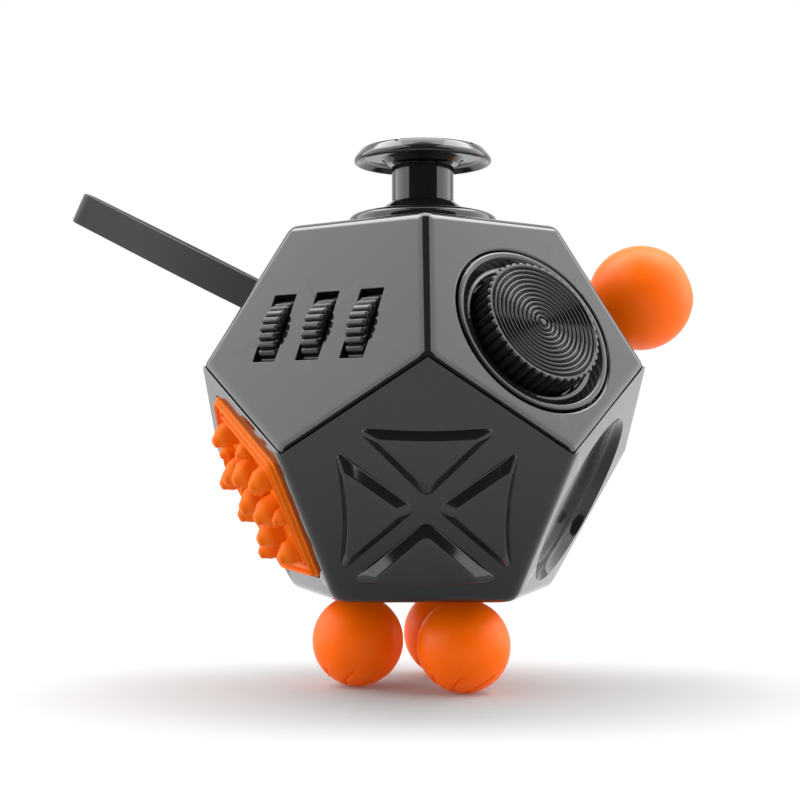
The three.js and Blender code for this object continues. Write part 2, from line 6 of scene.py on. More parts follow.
import bmesh
import bpy
import numpy as np
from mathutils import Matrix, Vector


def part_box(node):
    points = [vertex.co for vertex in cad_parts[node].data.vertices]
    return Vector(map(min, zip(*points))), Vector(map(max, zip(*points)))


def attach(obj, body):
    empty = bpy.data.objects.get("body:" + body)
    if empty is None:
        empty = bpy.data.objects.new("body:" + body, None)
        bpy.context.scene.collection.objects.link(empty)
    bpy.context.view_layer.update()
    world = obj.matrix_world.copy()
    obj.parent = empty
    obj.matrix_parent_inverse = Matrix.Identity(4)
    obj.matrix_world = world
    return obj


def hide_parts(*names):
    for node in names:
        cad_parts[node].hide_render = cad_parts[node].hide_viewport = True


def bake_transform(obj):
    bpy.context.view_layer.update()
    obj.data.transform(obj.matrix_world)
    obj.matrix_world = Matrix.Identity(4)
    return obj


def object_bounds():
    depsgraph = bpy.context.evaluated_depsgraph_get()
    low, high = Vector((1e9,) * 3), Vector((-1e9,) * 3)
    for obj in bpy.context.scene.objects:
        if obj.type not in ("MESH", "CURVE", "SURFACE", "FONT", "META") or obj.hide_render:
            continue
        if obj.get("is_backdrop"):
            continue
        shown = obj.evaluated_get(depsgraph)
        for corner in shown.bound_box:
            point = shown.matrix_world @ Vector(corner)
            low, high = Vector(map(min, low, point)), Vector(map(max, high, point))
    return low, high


bl_info = {
    "name": "Finger Toy Dodecahedron",
    "version": (1, 0, 0),
    "blender": (4, 5, 0),
    "location": "View3D > Sidebar > Finger Toy",
    "description": "Builds the visible pieces of a twelve-sided finger toy round its packed frame",
    "category": "Add Mesh",
}

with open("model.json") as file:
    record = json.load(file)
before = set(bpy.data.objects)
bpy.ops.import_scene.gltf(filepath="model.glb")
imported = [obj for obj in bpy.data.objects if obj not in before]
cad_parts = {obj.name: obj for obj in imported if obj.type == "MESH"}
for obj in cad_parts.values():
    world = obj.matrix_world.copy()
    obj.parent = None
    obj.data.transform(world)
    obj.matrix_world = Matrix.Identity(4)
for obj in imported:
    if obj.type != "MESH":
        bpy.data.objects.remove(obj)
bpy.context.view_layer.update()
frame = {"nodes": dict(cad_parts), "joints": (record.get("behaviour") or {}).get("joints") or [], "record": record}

# Filled by the finishes operator: shader node groups by name, and materials by slot.
SHARED = {}
FINISHES = {}

# ---------------------------------------------------------------- places, from the frame
MM = 0.001
JOINTS = {joint["name"]: joint for joint in frame["joints"]}
TOP_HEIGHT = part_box("upper_shell")[1].z
BASE_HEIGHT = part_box("lower_shell")[0].z
INRADIUS = (TOP_HEIGHT - BASE_HEIGHT) / 2
GOLDEN = (1 + math.sqrt(5)) / 2
EDGE = INRADIUS * 2 * math.sqrt(3 - GOLDEN) / GOLDEN**2
BODY_CENTRE = np.array([0, 0, (TOP_HEIGHT + BASE_HEIGHT) / 2])
FACE_TILT = math.atan(0.5)
APOTHEM = EDGE / (2 * math.tan(math.pi / 5))
EDGE_LEAN = math.radians(31.717)  # from the vertical, of the edges between the top face and the belt
SHARP_ANGLE = math.radians(40)  # edges that turn more than this stay sharp


def joint_place(name):
    """The place of a joint's pivot, in metres."""
    return np.array(JOINTS[name]["pos_m"], float)


class Spot:
    """A frame for making a piece: right, up and out are its axes and centre is its origin, in metres."""

    def __init__(self, centre, right, out):
        self.centre = np.asarray(centre, float)
        self.right, self.out = np.asarray(right, float), np.asarray(out, float)
        self.up = np.cross(self.out, self.right)
        self.axes = np.stack([self.right, self.up, self.out])

    def place(self, points):
        """Points of this frame, in the frame of the whole object."""
        return np.asarray(points) @ self.axes + self.centre

    def local(self, point):
        """Points of the whole object, in this frame."""
        return (np.asarray(point) - self.centre) @ self.axes.T


def face_spot(azimuth, side):
    """The frame of one face of the body: out is its normal, up is up the slope, the origin its middle.
    Side is 1 for the upper faces, -1 for the lower ones, 0 for the top and -2 for the underside."""
    turn = math.radians(azimuth)
    tilt = {0: math.pi / 2, 1: FACE_TILT, -1: -FACE_TILT, -2: -math.pi / 2}[side]
    out = np.array([math.sin(turn) * math.cos(tilt), -math.cos(turn) * math.cos(tilt), math.sin(tilt)])
    return Spot(BODY_CENTRE + out * INRADIUS, [math.cos(turn), math.sin(turn), 0.0], out)


# The frames of the twelve faces, by what each carries.
FACES = {
    "joystick": face_spot(0, 0), "wheels": face_spot(-36, 1), "dial": face_spot(36, 1),
    "strap": face_spot(-108, 1), "ball": face_spot(108, 1), "rocker": face_spot(180, 1),
    "cross": face_spot(0, -1), "spikes": face_spot(-72, -1), "dish": face_spot(72, -1),
    "buttons": face_spot(-144, -1), "roller": face_spot(144, -1), "underside": face_spot(36, -2),
}
# The frame of the pieces under the toy: +Z up, from the plane of the bottom face.
BASE_FACE = Spot([0, 0, BASE_HEIGHT], [1, 0, 0], [0, 0, 1])
BUTTONS = ("centre", "upper_right", "upper_left", "lower_left", "lower_right")


def button_centre(name):
    """The middle of a push button on its face, in millimetres."""
    low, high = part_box(f"button_{name}")
    return FACES["buttons"].local((np.array(low) + np.array(high)) / 2)[:2] / MM


def strap_spot():
    """The frame of the strap: its face's frame, moved up the slope to the strap's root."""
    face = FACES["strap"]
    rise = face.local(joint_place("strap_flex"))[1]
    return Spot(face.place([0, rise, 0]), face.right, face.out)


# ---------------------------------------------------------------- surfaces
def corner_rounded(corners, steps=5, closed=True):
    """A 2D path through [x, y, reach] corners: each is cut back by reach along both sides and bridged by
    a parabola arc whose control point is the corner. Corners with no reach stay sharp."""
    points = []
    count = len(corners)
    for k, (x, y, reach) in enumerate(corners):
        here = np.array([x, y], float)
        ends_open = not closed and k in (0, count - 1)
        if reach == 0 or ends_open:
            points.append(here[None])
            continue
        before = np.array(corners[k - 1][:2], float) - here
        after = np.array(corners[(k + 1) % count][:2], float) - here
        first = here + before * min(0.49, reach / np.hypot(*before))
        last = here + after * min(0.49, reach / np.hypot(*after))
        t = np.linspace(0, 1, steps + 1)[:, None]
        points.append((1 - t) ** 2 * first + 2 * t * (1 - t) * here + t**2 * last)
    return np.concatenate(points)


def open_path(corners, steps=5):
    """A 2D path through [x, y, reach] corners that doesn't return to its start."""
    return corner_rounded(corners, steps, closed=False)


def rod_profile(radius, low, high):
    """The profile of a plain round rod."""
    return np.array([[0, low], [radius, low], [radius, high], [0, high]])


def ball_arc(radius, fall, centre):
    """Profile points on a circle round a height on the axis, at the given angles off its top: radius times
    the sine of the angle out, and radius times its cosine above the centre."""
    return np.stack([radius * np.sin(fall), centre + radius * np.cos(fall)], axis=-1)


def divided(path, longest, closed=False):
    """A 2D path with its long straight runs split, so that no step is longer than the given length."""
    ends = np.roll(path, -1, axis=0) if closed else path[1:]
    starts = path if closed else path[:-1]
    runs = [
        a + (b - a) * np.linspace(0, 1, max(2, int(np.hypot(*(b - a)) / longest) + 2))[:-1, None]
        for a, b in zip(starts, ends)
    ]
    return np.concatenate(runs if closed else [*runs, path[-1:]])


def grid_faces(rows, columns, wrap_rows, wrap_columns):
    """Four-sided faces of a grid of points stored row by row; a wrapped side joins its last line to
    its first."""
    index = np.arange(rows * columns).reshape(rows, columns)
    if wrap_rows:
        index = np.vstack([index, index[:1]])
    if wrap_columns:
        index = np.hstack([index, index[:, :1]])
    quads = np.stack([index[:-1, :-1], index[1:, :-1], index[1:, 1:], index[:-1, 1:]], axis=-1)
    return quads.reshape(-1, 4)


def mesh_piece(name, parts):
    """An object from a list of (points, faces), in metres. Doubled points at seams and poles are merged
    and the faces are turned outwards."""
    mesh = bpy.data.meshes.new(name)
    points, faces, start = [], [], 0
    for part_points, part_faces in parts:
        points.append(np.asarray(part_points, float).reshape(-1, 3))
        faces += [[int(k) + start for k in face] for face in part_faces]
        start += len(points[-1])
    mesh.from_pydata(np.concatenate(points).tolist(), [], faces)
    shape = bmesh.new()
    shape.from_mesh(mesh)
    bmesh.ops.remove_doubles(shape, verts=shape.verts, dist=1e-7)
    bmesh.ops.recalc_face_normals(shape, faces=shape.faces)
    if shape.calc_volume(signed=True) < 0:
        bmesh.ops.reverse_faces(shape, faces=shape.faces)
    shape.to_mesh(mesh)
    shape.free()
    piece = bpy.data.objects.new(name, mesh)
    bpy.context.scene.collection.objects.link(piece)
    return piece


def turned(profile, face, centre=(0, 0), segments=128, closed=False, change=None):
    """A profile of [radius, height] turned about the face's normal through centre: x is radius times the
    cosine of the angle and y radius times its sine. A closed profile makes a ring; an open one starts and
    ends on the axis. change(angle, radius, height) may move each point first."""
    angle = np.linspace(0, 2 * np.pi, segments, endpoint=False)[:, None]
    radius = np.broadcast_to(profile[:, 0] * MM, (segments, len(profile)))
    height = np.broadcast_to(profile[:, 1] * MM, (segments, len(profile)))
    if change:
        radius, height = change(angle, radius, height)
    x = centre[0] * MM + radius * np.cos(angle)
    y = centre[1] * MM + radius * np.sin(angle)
    points = face.place(np.stack([x, y, np.broadcast_to(height, x.shape)], axis=-1))
    return points, grid_faces(segments, len(profile), True, closed)


def carried(outline, levels, face, centre=(0, 0)):
    """A closed 2D outline carried along the face's normal: at each [height, growth] level it is moved
    outwards along its own normals by growth. The two ends are closed by flat faces."""
    along = np.roll(outline, -1, axis=0) - np.roll(outline, 1, axis=0)
    normals = np.stack([along[:, 1], -along[:, 0]], axis=-1)
    normals /= np.linalg.norm(normals, axis=1, keepdims=True)
    levels = np.asarray(levels, float)
    flat = outline[None] + normals[None] * levels[:, 1, None, None]
    height = np.broadcast_to(levels[:, 0, None, None], (*flat.shape[:2], 1))
    local = np.concatenate([flat + np.asarray(centre), height], axis=-1) * MM
    faces = grid_faces(len(levels), len(outline), False, True).tolist()
    first = np.arange(len(outline))
    last = first + (len(levels) - 1) * len(outline)
    return face.place(local), [*faces, first, last]


def turned_piece(name, *profile, **shape):
    """A turned profile as an object of its own."""
    return mesh_piece(name, [turned(*profile, **shape)])


def carried_piece(name, *outline):
    """A carried outline as an object of its own."""
    return mesh_piece(name, [carried(*outline)])


def box_outline(width, height, reach, steps=6):
    """A rectangle with rounded corners, anticlockwise round its middle."""
    x, y = width / 2, height / 2
    return corner_rounded([[x, -y, reach], [x, y, reach], [-x, y, reach], [-x, -y, reach]], steps)


def polygon_outline(radius, sides, turn, reach, steps=6):
    """A regular polygon with rounded corners, anticlockwise, its first corner at the given turn."""
    angle = np.radians(turn) + 2 * np.pi * np.arange(sides) / sides
    return corner_rounded([[radius * np.cos(a), radius * np.sin(a), reach] for a in angle], steps)


def circle_outline(radius, count=96):
    """Points round a circle, anticlockwise."""
    angle = 2 * np.pi * np.arange(count) / count
    return radius * np.stack([np.cos(angle), np.sin(angle)], axis=-1)


def flare(radius, depth):
    """Levels of a cutter from depth below the surface to a rise above it, whose mouth widens by a quarter
    circle of the given radius and then by as much as it rises."""
    rise = 3.0
    turn = np.linspace(0, np.pi / 2, 6)
    lip = np.stack([-radius + radius * np.sin(turn), radius - radius * np.cos(turn)], axis=-1)
    return np.vstack([[[-depth, 0]], lip, [[rise, radius + rise]]])


def swept(path, section, outward, sideways):
    """A closed section carried round a closed path of points: point + x * outward + y * sideways, with the
    two unit vectors of each step."""
    x, y = section[None, :, :1], section[None, :, 1:]
    points = path[:, None] + x * outward[:, None] + y * sideways[:, None]
    return points, grid_faces(len(path), len(section), True, True)


def combined(piece, tools, operation):
    """Joins the tools to a piece or cuts them from it, for good, and removes them."""
    for tool in tools:
        step = piece.modifiers.new(tool.name, "BOOLEAN")
        step.operation = operation
        step.solver = "MANIFOLD"
        step.object = tool
        baked(piece)
        bpy.data.objects.remove(tool)
    return piece


def baked(piece):
    """Applies a piece's modifiers to its mesh."""
    bpy.context.view_layer.update()
    evaluated = piece.evaluated_get(bpy.context.evaluated_depsgraph_get())
    mesh = bpy.data.meshes.new_from_object(evaluated)
    piece.modifiers.clear()
    old = piece.data
    piece.data = mesh
    bpy.data.meshes.remove(old)


def edge_finish(piece):
    """Smooth shading that keeps flat faces flat: edges over the sharp angle stay sharp and normals are
    weighted by face area."""
    piece.data.polygons.foreach_set("use_smooth", np.full(len(piece.data.polygons), True))
    piece.data.set_sharp_from_angle(angle=SHARP_ANGLE)
    step = piece.modifiers.new("even normals", "WEIGHTED_NORMAL")
    step.keep_sharp = True
    step.weight = 100


def fitted(piece, body, slot, node):
    """Gives a piece its body (None leaves it without one), the record's slot with that slot's finish, and hides
    the CAD node that it stands for."""
    edge_finish(piece)
    piece.data.materials.clear()
    piece.data.materials.append(FINISHES[slot])
    piece.data.polygons.foreach_set("material_index", np.zeros(len(piece.data.polygons), int))
    if body:
        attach(piece, body)
    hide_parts(node)


# ---------------------------------------------------------------- shared shader groups
def group_tree(name, inputs, outputs):
    """A new shader node group with named number inputs and outputs; returns it with its end nodes."""
    tree = bpy.data.node_groups.new(name, "ShaderNodeTree")
    for label, value in inputs:
        socket = tree.interface.new_socket(label, in_out="INPUT", socket_type="NodeSocketFloat")
        socket.default_value = value
    for label in outputs:
        tree.interface.new_socket(label, in_out="OUTPUT", socket_type="NodeSocketFloat")
    return tree, tree.nodes.new("NodeGroupInput"), tree.nodes.new("NodeGroupOutput")


def noise_node(tree, coordinates, detail, roughness=0.5):
    """A noise texture in the piece's own coordinates."""
    noise = tree.nodes.new("ShaderNodeTexNoise")
    noise.inputs["Detail"].default_value = detail
    noise.inputs["Roughness"].default_value = roughness
    tree.links.new(coordinates, noise.inputs["Vector"])
    return noise


def mapped(tree, value, low, high, to_low, to_high):
    """A value taken from one range to another, held at its ends."""
    step = tree.nodes.new("ShaderNodeMapRange")
    for label, number in (("From Min", low), ("From Max", high), ("To Min", to_low), ("To Max", to_high)):
        step.inputs[label].default_value = number
    tree.links.new(value, step.inputs["Value"])
    return step


def moulded_grain():
    """Height of a moulded surface: a slow ripple left by shrinkage and a fine pitted grain over it."""
    inputs = [("Grain Scale", 2500.0), ("Ripple Scale", 160.0), ("Grain Share", 0.3)]
    tree, start, end = group_tree("Moulded Grain", inputs, ["Height"])
    place = tree.nodes.new("ShaderNodeTexCoord").outputs["Object"]
    grain = noise_node(tree, place, 3.0)
    ripple = noise_node(tree, place, 1.0)
    mix = tree.nodes.new("ShaderNodeMix")
    tree.links.new(start.outputs["Grain Scale"], grain.inputs["Scale"])
    tree.links.new(start.outputs["Ripple Scale"], ripple.inputs["Scale"])
    tree.links.new(start.outputs["Grain Share"], mix.inputs["Factor"])
    tree.links.new(ripple.outputs["Fac"], mix.inputs["A"])
    tree.links.new(grain.outputs["Fac"], mix.inputs["B"])
    tree.links.new(mix.outputs["Result"], end.inputs["Height"])
    return tree


def handling_marks():
    """A mask of where hands have dulled or polished a surface: broad clouds crossed by fine hairlines."""
    tree, start, end = group_tree("Handling Marks", [("Cloud Scale", 60.0), ("Hairlines", 0.4)], ["Mask"])
    place = tree.nodes.new("ShaderNodeTexCoord").outputs["Object"]
    clouds = noise_node(tree, place, 4.0, 0.6)
    stretch = tree.nodes.new("ShaderNodeMapping")
    stretch.inputs["Rotation"].default_value = (0.4, 0.9, 0.3)
    stretch.inputs["Scale"].default_value = (4000.0, 90.0, 90.0)
    tree.links.new(place, stretch.inputs["Vector"])
    lines = noise_node(tree, stretch.outputs["Vector"], 2.0)
    lines.inputs["Scale"].default_value = 1.0
    tree.links.new(start.outputs["Cloud Scale"], clouds.inputs["Scale"])
    fine = mapped(tree, lines.outputs["Fac"], 0.62, 0.8, 0.0, 1.0)
    scaled = tree.nodes.new("ShaderNodeMath")
    scaled.operation = "MULTIPLY"
    tree.links.new(fine.outputs["Result"], scaled.inputs[0])
    tree.links.new(start.outputs["Hairlines"], scaled.inputs[1])
    broad = mapped(tree, clouds.outputs["Fac"], 0.3, 0.7, 0.0, 1.0)
    total = tree.nodes.new("ShaderNodeMath")
    total.operation = "ADD"
    total.use_clamp = True
    tree.links.new(broad.outputs["Result"], total.inputs[0])
    tree.links.new(scaled.outputs["Value"], total.inputs[1])
    tree.links.new(total.outputs["Value"], end.inputs["Mask"])
    return tree


def edge_wear():
    """A mask of worn convex edges, broken up by noise."""
    tree, start, end = group_tree("Edge Wear", [("Amount", 0.5), ("Break Scale", 400.0)], ["Mask"])
    place = tree.nodes.new("ShaderNodeTexCoord").outputs["Object"]
    pointed = tree.nodes.new("ShaderNodeNewGeometry").outputs["Pointiness"]
    edges = mapped(tree, pointed, 0.52, 0.6, 0.0, 1.0)
    broken = noise_node(tree, place, 3.0)
    tree.links.new(start.outputs["Break Scale"], broken.inputs["Scale"])
    spots = mapped(tree, broken.outputs["Fac"], 0.4, 0.65, 0.0, 1.0)
    both = tree.nodes.new("ShaderNodeMath")
    both.operation = "MULTIPLY"
    tree.links.new(edges.outputs["Result"], both.inputs[0])
    tree.links.new(spots.outputs["Result"], both.inputs[1])
    scaled = tree.nodes.new("ShaderNodeMath")
    scaled.operation = "MULTIPLY"
    tree.links.new(both.outputs["Value"], scaled.inputs[0])
    tree.links.new(start.outputs["Amount"], scaled.inputs[1])
    tree.links.new(scaled.outputs["Value"], end.inputs["Mask"])
    return tree


def placed(tree, name, **values):
    """A shared group placed in a material with its own values, given with underscores for spaces."""
    node = tree.nodes.new("ShaderNodeGroup")
    node.node_tree = SHARED[name]
    for label, value in values.items():
        node.inputs[label.replace("_", " ")].default_value = value
    return node


MIX_SOCKETS = ("Factor_Float", "A_Color", "B_Color")  # the colour sockets of a Mix node


def colour_mix(tree, mask, under, over):
    """Under where the mask is 0 and over where it is 1; each is a colour or a colour output."""
    mix = tree.nodes.new("ShaderNodeMix")
    mix.data_type = "RGBA"
    factor, low, high = (next(s for s in mix.inputs if s.identifier == key) for key in MIX_SOCKETS)
    tree.links.new(mask, factor)
    for socket, value in ((low, under), (high, over)):
        if isinstance(value, tuple):
            socket.default_value = (*value, 1)
        else:
            tree.links.new(value, socket)
    return next(s for s in mix.outputs if s.identifier == "Result_Color")


def finish_material(
    name, colour, worn, roughness, bump, grain, wear=0.3, hairlines=0.3, metal=0.0, **shader
):
    """A finish: its colour drifts a little and lightens to worn on edges, its roughness runs between two
    values with handling, and its grain is a bump. Further values are set on the shader's own sockets."""
    material = bpy.data.materials.new(name)
    material.use_nodes = True
    tree = material.node_tree
    surface = tree.nodes["Principled BSDF"]
    surface.inputs["Metallic"].default_value = metal
    for label, value in shader.items():
        surface.inputs[label.replace("_", " ")].default_value = value
    marks = placed(tree, "Handling Marks", Hairlines=hairlines)
    edges = placed(tree, "Edge Wear", Amount=wear)
    height = placed(tree, "Moulded Grain", **grain)
    handled = tuple(channel * 0.88 for channel in colour)
    drift = colour_mix(tree, marks.outputs["Mask"], colour, handled)
    tint = colour_mix(tree, edges.outputs["Mask"], drift, worn)
    tree.links.new(tint, surface.inputs["Base Color"])
    sheen = mapped(tree, marks.outputs["Mask"], 0.0, 1.0, *roughness)
    tree.links.new(sheen.outputs["Result"], surface.inputs["Roughness"])
    relief = tree.nodes.new("ShaderNodeBump")
    relief.inputs["Strength"].default_value = bump
    relief.inputs["Distance"].default_value = 0.02 * MM
    tree.links.new(height.outputs["Height"], relief.inputs["Height"])
    tree.links.new(relief.outputs["Normal"], surface.inputs["Normal"])
    return material


def slot_finishes(finish):
    """The toy's materials, by slot, from the colours of the finish settings."""
    black, orange, band = tuple(finish.shell), tuple(finish.orange), tuple(finish.strap)
    wheel = tuple(channel * 0.6 for channel in black)
    pale = tuple(min(1.0, channel * 1.15 + 0.03) for channel in orange)
    soft = (orange[0] * 0.78, orange[1] * 1.05, orange[2])
    fine = {"Grain_Scale": 3000.0, "Ripple_Scale": 120.0, "Grain_Share": 0.25}
    coarse = {"Grain_Scale": 1800.0, "Ripple_Scale": 300.0, "Grain_Share": 0.7}
    brushed = {"Grain_Scale": 4000.0, "Ripple_Scale": 500.0, "Grain_Share": 0.8}
    worn_black, grey, worn_grey = (0.03, 0.03, 0.032), (0.3, 0.3, 0.31), (0.45, 0.45, 0.45)
    steel, worn_steel = (0.55, 0.55, 0.57), (0.75, 0.75, 0.76)
    return {
        "gloss_shell": finish_material(
            "Gloss black ABS", black, worn_black, (0.07, 0.1), 0.04, fine, wear=0.15, hairlines=0.05
        ),
        "dark_plastic": finish_material("Satin black ABS", wheel, worn_black, (0.28, 0.4), 0.25, coarse),
        "strap_rubber": finish_material(
            "Strap rubber", band, (0.06, 0.06, 0.06), (0.5, 0.65), 0.5, coarse, wear=0.2,
            Specular_IOR_Level=0.35,
        ),
        # The orange ABS is given an emission glow in its own orange: painted light that brightens its shaded
        # sides, though it is no lamp.
        "orange_plastic": finish_material(
            "Orange ABS with painted glow", orange, pale, (0.35, 0.45), 0.1, fine, wear=0.25, hairlines=0.1,
            Specular_IOR_Level=0.16, Emission_Color=(*orange, 1), Emission_Strength=0.15,
        ),
        # The orange silicone is given a faint emission glow in the orange: painted light that lifts its shade,
        # though it is no lamp.
        "orange_silicone": finish_material(
            "Orange silicone with painted glow", soft, pale, (0.45, 0.6), 0.25, coarse, wear=0.4, hairlines=0.1,
            Specular_IOR_Level=0.12, Emission_Color=(*orange, 1), Emission_Strength=0.04,
        ),
        "inner_plastic": finish_material("Natural nylon", grey, worn_grey, (0.45, 0.6), 0.4, coarse),
        "steel": finish_material(
            "Plated steel", steel, worn_steel, (0.22, 0.4), 0.3, brushed, metal=1.0
        ),
    }


class TOY_OT_finishes(bpy.types.Operator):
    """Make the finishes that the pieces share"""

    bl_idname = "toy.finishes"
    bl_label = "Finishes"

    def execute(self, context):
        SHARED.update({tree.name: tree for tree in (moulded_grain(), handling_marks(), edge_wear())})
        FINISHES.update(slot_finishes(context.scene.toy_finish))
        return {"FINISHED"}


# ---------------------------------------------------------------- settings
def length_setting(name, description, default):
    """A size in millimetres."""
    description = f"{description}, in millimetres"
    return bpy.props.FloatProperty(name=name, description=description, default=default, min=0.01)


def count_setting(name, description, default):
    """A number of like features."""
    return bpy.props.IntProperty(name=name, description=description, default=default, min=8)


def colour_setting(name, description, default):
    """A colour."""
    return bpy.props.FloatVectorProperty(
        name=name, description=description, default=default, subtype="COLOR", size=3, min=0, max=1
    )


class ShellSettings(bpy.types.PropertyGroup):
    """Sizes of the two shells, in millimetres."""

    wall: length_setting("Wall", "Thickness of the shells", 2.2)
    upper_edge: length_setting("Upper edge", "Edge rounding of the upper shell", 2.4)
    lower_edge: length_setting("Lower edge", "Edge rounding of the lower shell", 2.6)
    parting: length_setting("Parting gap", "Gap between the shells along the zigzag belt", 0.22)
    lip: length_setting("Parting lip", "Bevel along the lower shell's parting edge", 0.25)
    mouth: length_setting("Mouth rounding", "Rounding where an opening meets a face", 0.35)
    pad_rise: length_setting("Pad height", "Height of the raised pads on the front face", 1.45)
    pad_wall: length_setting("Pad wall", "How far the walls of the pads lean in", 0.7)


class PartSettings(bpy.types.PropertyGroup):
    """Sizes and counts of the toys on the faces, in millimetres."""

    rings: count_setting("Dial rings", "Ring grooves on the dial", 12)
    knurls: count_setting("Dial knurls", "Scallops round the dial", 44)
    ribs: count_setting("Wheel ribs", "Ribs round each wheel", 30)
    rib_depth: length_setting("Rib depth", "Depth between the wheel ribs", 0.55)
    band_width: length_setting("Strap width", "Width of the strap", 4.9)
    band_thickness: length_setting("Strap thickness", "Thickness of each run of the strap", 1.2)


class FinishSettings(bpy.types.PropertyGroup):
    """Colours of the finishes."""

    shell: colour_setting("Shell", "Glossy black of the shells", (0.011, 0.011, 0.012))
    # This orange also colours the painted glow (emission) of the orange balls and pad.
    orange: colour_setting("Orange", "Orange of the balls and the spiked pad", (1.0, 0.138, 0.0))
    strap: colour_setting("Strap", "Grey of the rubber strap", (0.032, 0.032, 0.033))


# ---------------------------------------------------------------- shells
MARCH_STEPS = 80  # moves that bring a ray's point onto the rounded body
HALVINGS = 50  # halvings that find a ray's point among the lower faces


def soft_body(edge_radius, inset, fillet_steps=6, low_radius=0.0):
    """The dodecahedron with its faces moved in by inset and its edges rounded to edge_radius. Each face is
    a set of pentagon rings; every point of a ring is cast along its ray from the body's centre onto the
    surface at distance edge_radius from a smaller sharp dodecahedron. Folding a ray into the slice next to
    its nearest edge leaves one face plane, one edge and one corner to measure from. With a low_radius, the
    edges between the six lower faces are rounded further by low_reach."""
    edge_radius, inset, low_radius = edge_radius * MM, inset * MM, low_radius * MM
    flat = 1 - edge_radius / (INRADIUS - inset)
    curve = np.linspace(flat, 1, fillet_steps + 1)
    if low_radius:
        curve = np.concatenate([np.linspace(1 - low_radius / INRADIUS, flat, 8)[:-1], curve])
    flat = curve[0]
    side = np.concatenate([-curve[:0:-1], [-flat, 0], curve[:-1]])
    scales = np.concatenate([[0, flat / 2], curve])
    inner_height = INRADIUS - inset - edge_radius
    inner_apothem = APOTHEM * inner_height / INRADIUS
    inner_half = inner_apothem * math.tan(math.pi / 5)
    half = APOTHEM * math.tan(math.pi / 5)
    parts = []
    for face in FACES.values():
        first = 90 if face.out[2] < 0 else -90
        turn = np.radians(first + 36 + 72 * np.arange(5))[:, None]
        rim = np.stack(
            [
                APOTHEM * np.cos(turn) - half * side * np.sin(turn),
                APOTHEM * np.sin(turn) + half * side * np.cos(turn),
            ],
            axis=-1,
        ).reshape(-1, 2)
        plane = scales[:, None, None] * rim[None]
        rays = np.concatenate([plane, np.full((*plane.shape[:2], 1), INRADIUS)], axis=-1)
        rays /= np.linalg.norm(rays, axis=-1, keepdims=True)
        azimuth = np.arctan2(rays[..., 1], rays[..., 0]) - turn[0, 0]
        folded = np.abs((azimuth + np.pi / 5) % (2 * np.pi / 5) - np.pi / 5)
        spread = np.hypot(rays[..., 0], rays[..., 1])
        reach = np.full(rays.shape[:2], 2 * INRADIUS)
        for _ in range(MARCH_STEPS):
            across = reach * spread * np.cos(folded)
            beside = reach * spread * np.sin(folded)
            above = reach * rays[..., 2] - inner_height
            over = np.maximum(across - inner_apothem, 0)
            past = np.where(over > 0, np.maximum(beside - inner_half, 0), 0)
            reach = reach - (np.sqrt(over**2 + past**2 + above**2) - edge_radius)
        rays = rays @ face.axes
        if low_radius:
            reach = np.minimum(reach, low_reach(rays, reach, low_radius))
        points = rays * reach[..., None] + BODY_CENTRE
        parts.append((points, grid_faces(len(scales), len(rim), False, True)))
    return parts


def low_reach(rays, reach, radius, power=4.3):
    """How far rays from the body's centre go inside the six lower faces, whose edges are rounded. With each
    face's plane moved in by the radius, the distances past the planes, over the radius and raised to the
    power, add up to 1 at the surface, which is found by halving."""
    normals = np.array([face.out for face in FACES.values() if face.out[2] < 0])
    slopes = rays @ normals.T
    near, far = np.zeros(reach.shape), reach.copy()
    for _ in range(HALVINGS):
        middle = (near + far) / 2
        past = np.maximum(middle[..., None] * slopes - INRADIUS + radius, 0)
        outside = np.sum((past / radius) ** power, axis=-1) > 1
        near, far = np.where(outside, near, middle), np.where(outside, middle, far)
    return far


def belt_cutter(side, gap, lip):
    """The half space on one side of the zigzag belt, as a star round the body's centre. Just under the
    surface the star's rim turns away by lip, which bevels the parting edge."""
    azimuth = np.radians(36 * np.arange(10))
    high = np.where(np.arange(10) % 2 == 0, 1, -1) * (INRADIUS - EDGE * math.cos(EDGE_LEAN))
    rim = np.stack([2 * APOTHEM * np.sin(azimuth), -2 * APOTHEM * np.cos(azimuth), high], axis=-1)
    shift = np.array([0, 0, side * gap / 2 * MM])
    near = rim * (1 - 1.5 * lip * MM / (1.3 * EDGE)) + shift
    far = rim * 1.5 + shift + np.array([0, 0, side * 0.5 * EDGE])
    wall = far * [1, 1, 0] + [0, 0, side * 3 * EDGE]
    points = np.concatenate([shift[None], near, far, wall, [[0, 0, side * 3 * EDGE]]]) + BODY_CENTRE
    fan = np.arange(1, 11)
    after = np.roll(fan, -1)
    faces = [[0, a, b] for a, b in zip(fan, after)]
    for start in (0, 10):
        faces += [[start + a, start + 10 + a, start + 10 + b, start + b] for a, b in zip(fan, after)]
    faces += [[20 + a, 31, 20 + b] for a, b in zip(fan, after)]
    return points, faces


def hollow_half(name, side, shell, body, lip):
    """One shell before its openings: the rounded body kept on one side of the belt, less the hollow."""
    piece = mesh_piece(name, body)
    half = mesh_piece("half", [belt_cutter(side, shell.parting, lip)])
    combined(piece, [half], "INTERSECT")
    hollow = mesh_piece("hollow", soft_body(0.4, shell.wall, 2))
    return combined(piece, [hollow], "DIFFERENCE")


def opening(name, outline, face, centre=(0, 0), *, mouth, depth=8.0):
    """A cutter through a face with a rounded mouth."""
    return carried_piece(name, outline, flare(mouth, depth), face, centre)


def pad_outlines():
    """The four raised pads of the front face, anticlockwise, with gently hollow outer sides."""
    upper = [[0.0, 0.3, 1.4], [8.8, 9.9, 2.2], [0.0, 9.3, 5.0], [-8.8, 9.9, 2.2]]
    under = [[0.0, -4.0, 1.4], [-9.6, -12.9, 2.2], [0.0, -13.5, 4.0], [9.6, -12.9, 2.2]]
    right = [[1.8, -1.9, 1.4], [11.4, -11.0, 2.2], [10.7, -2.4, 5.0], [11.8, 6.5, 2.2]]
    left = [[-x, y, r] for x, y, r in reversed(right)]
    return [divided(corner_rounded(outline), 0.8, closed=True) for outline in (upper, right, under, left)]


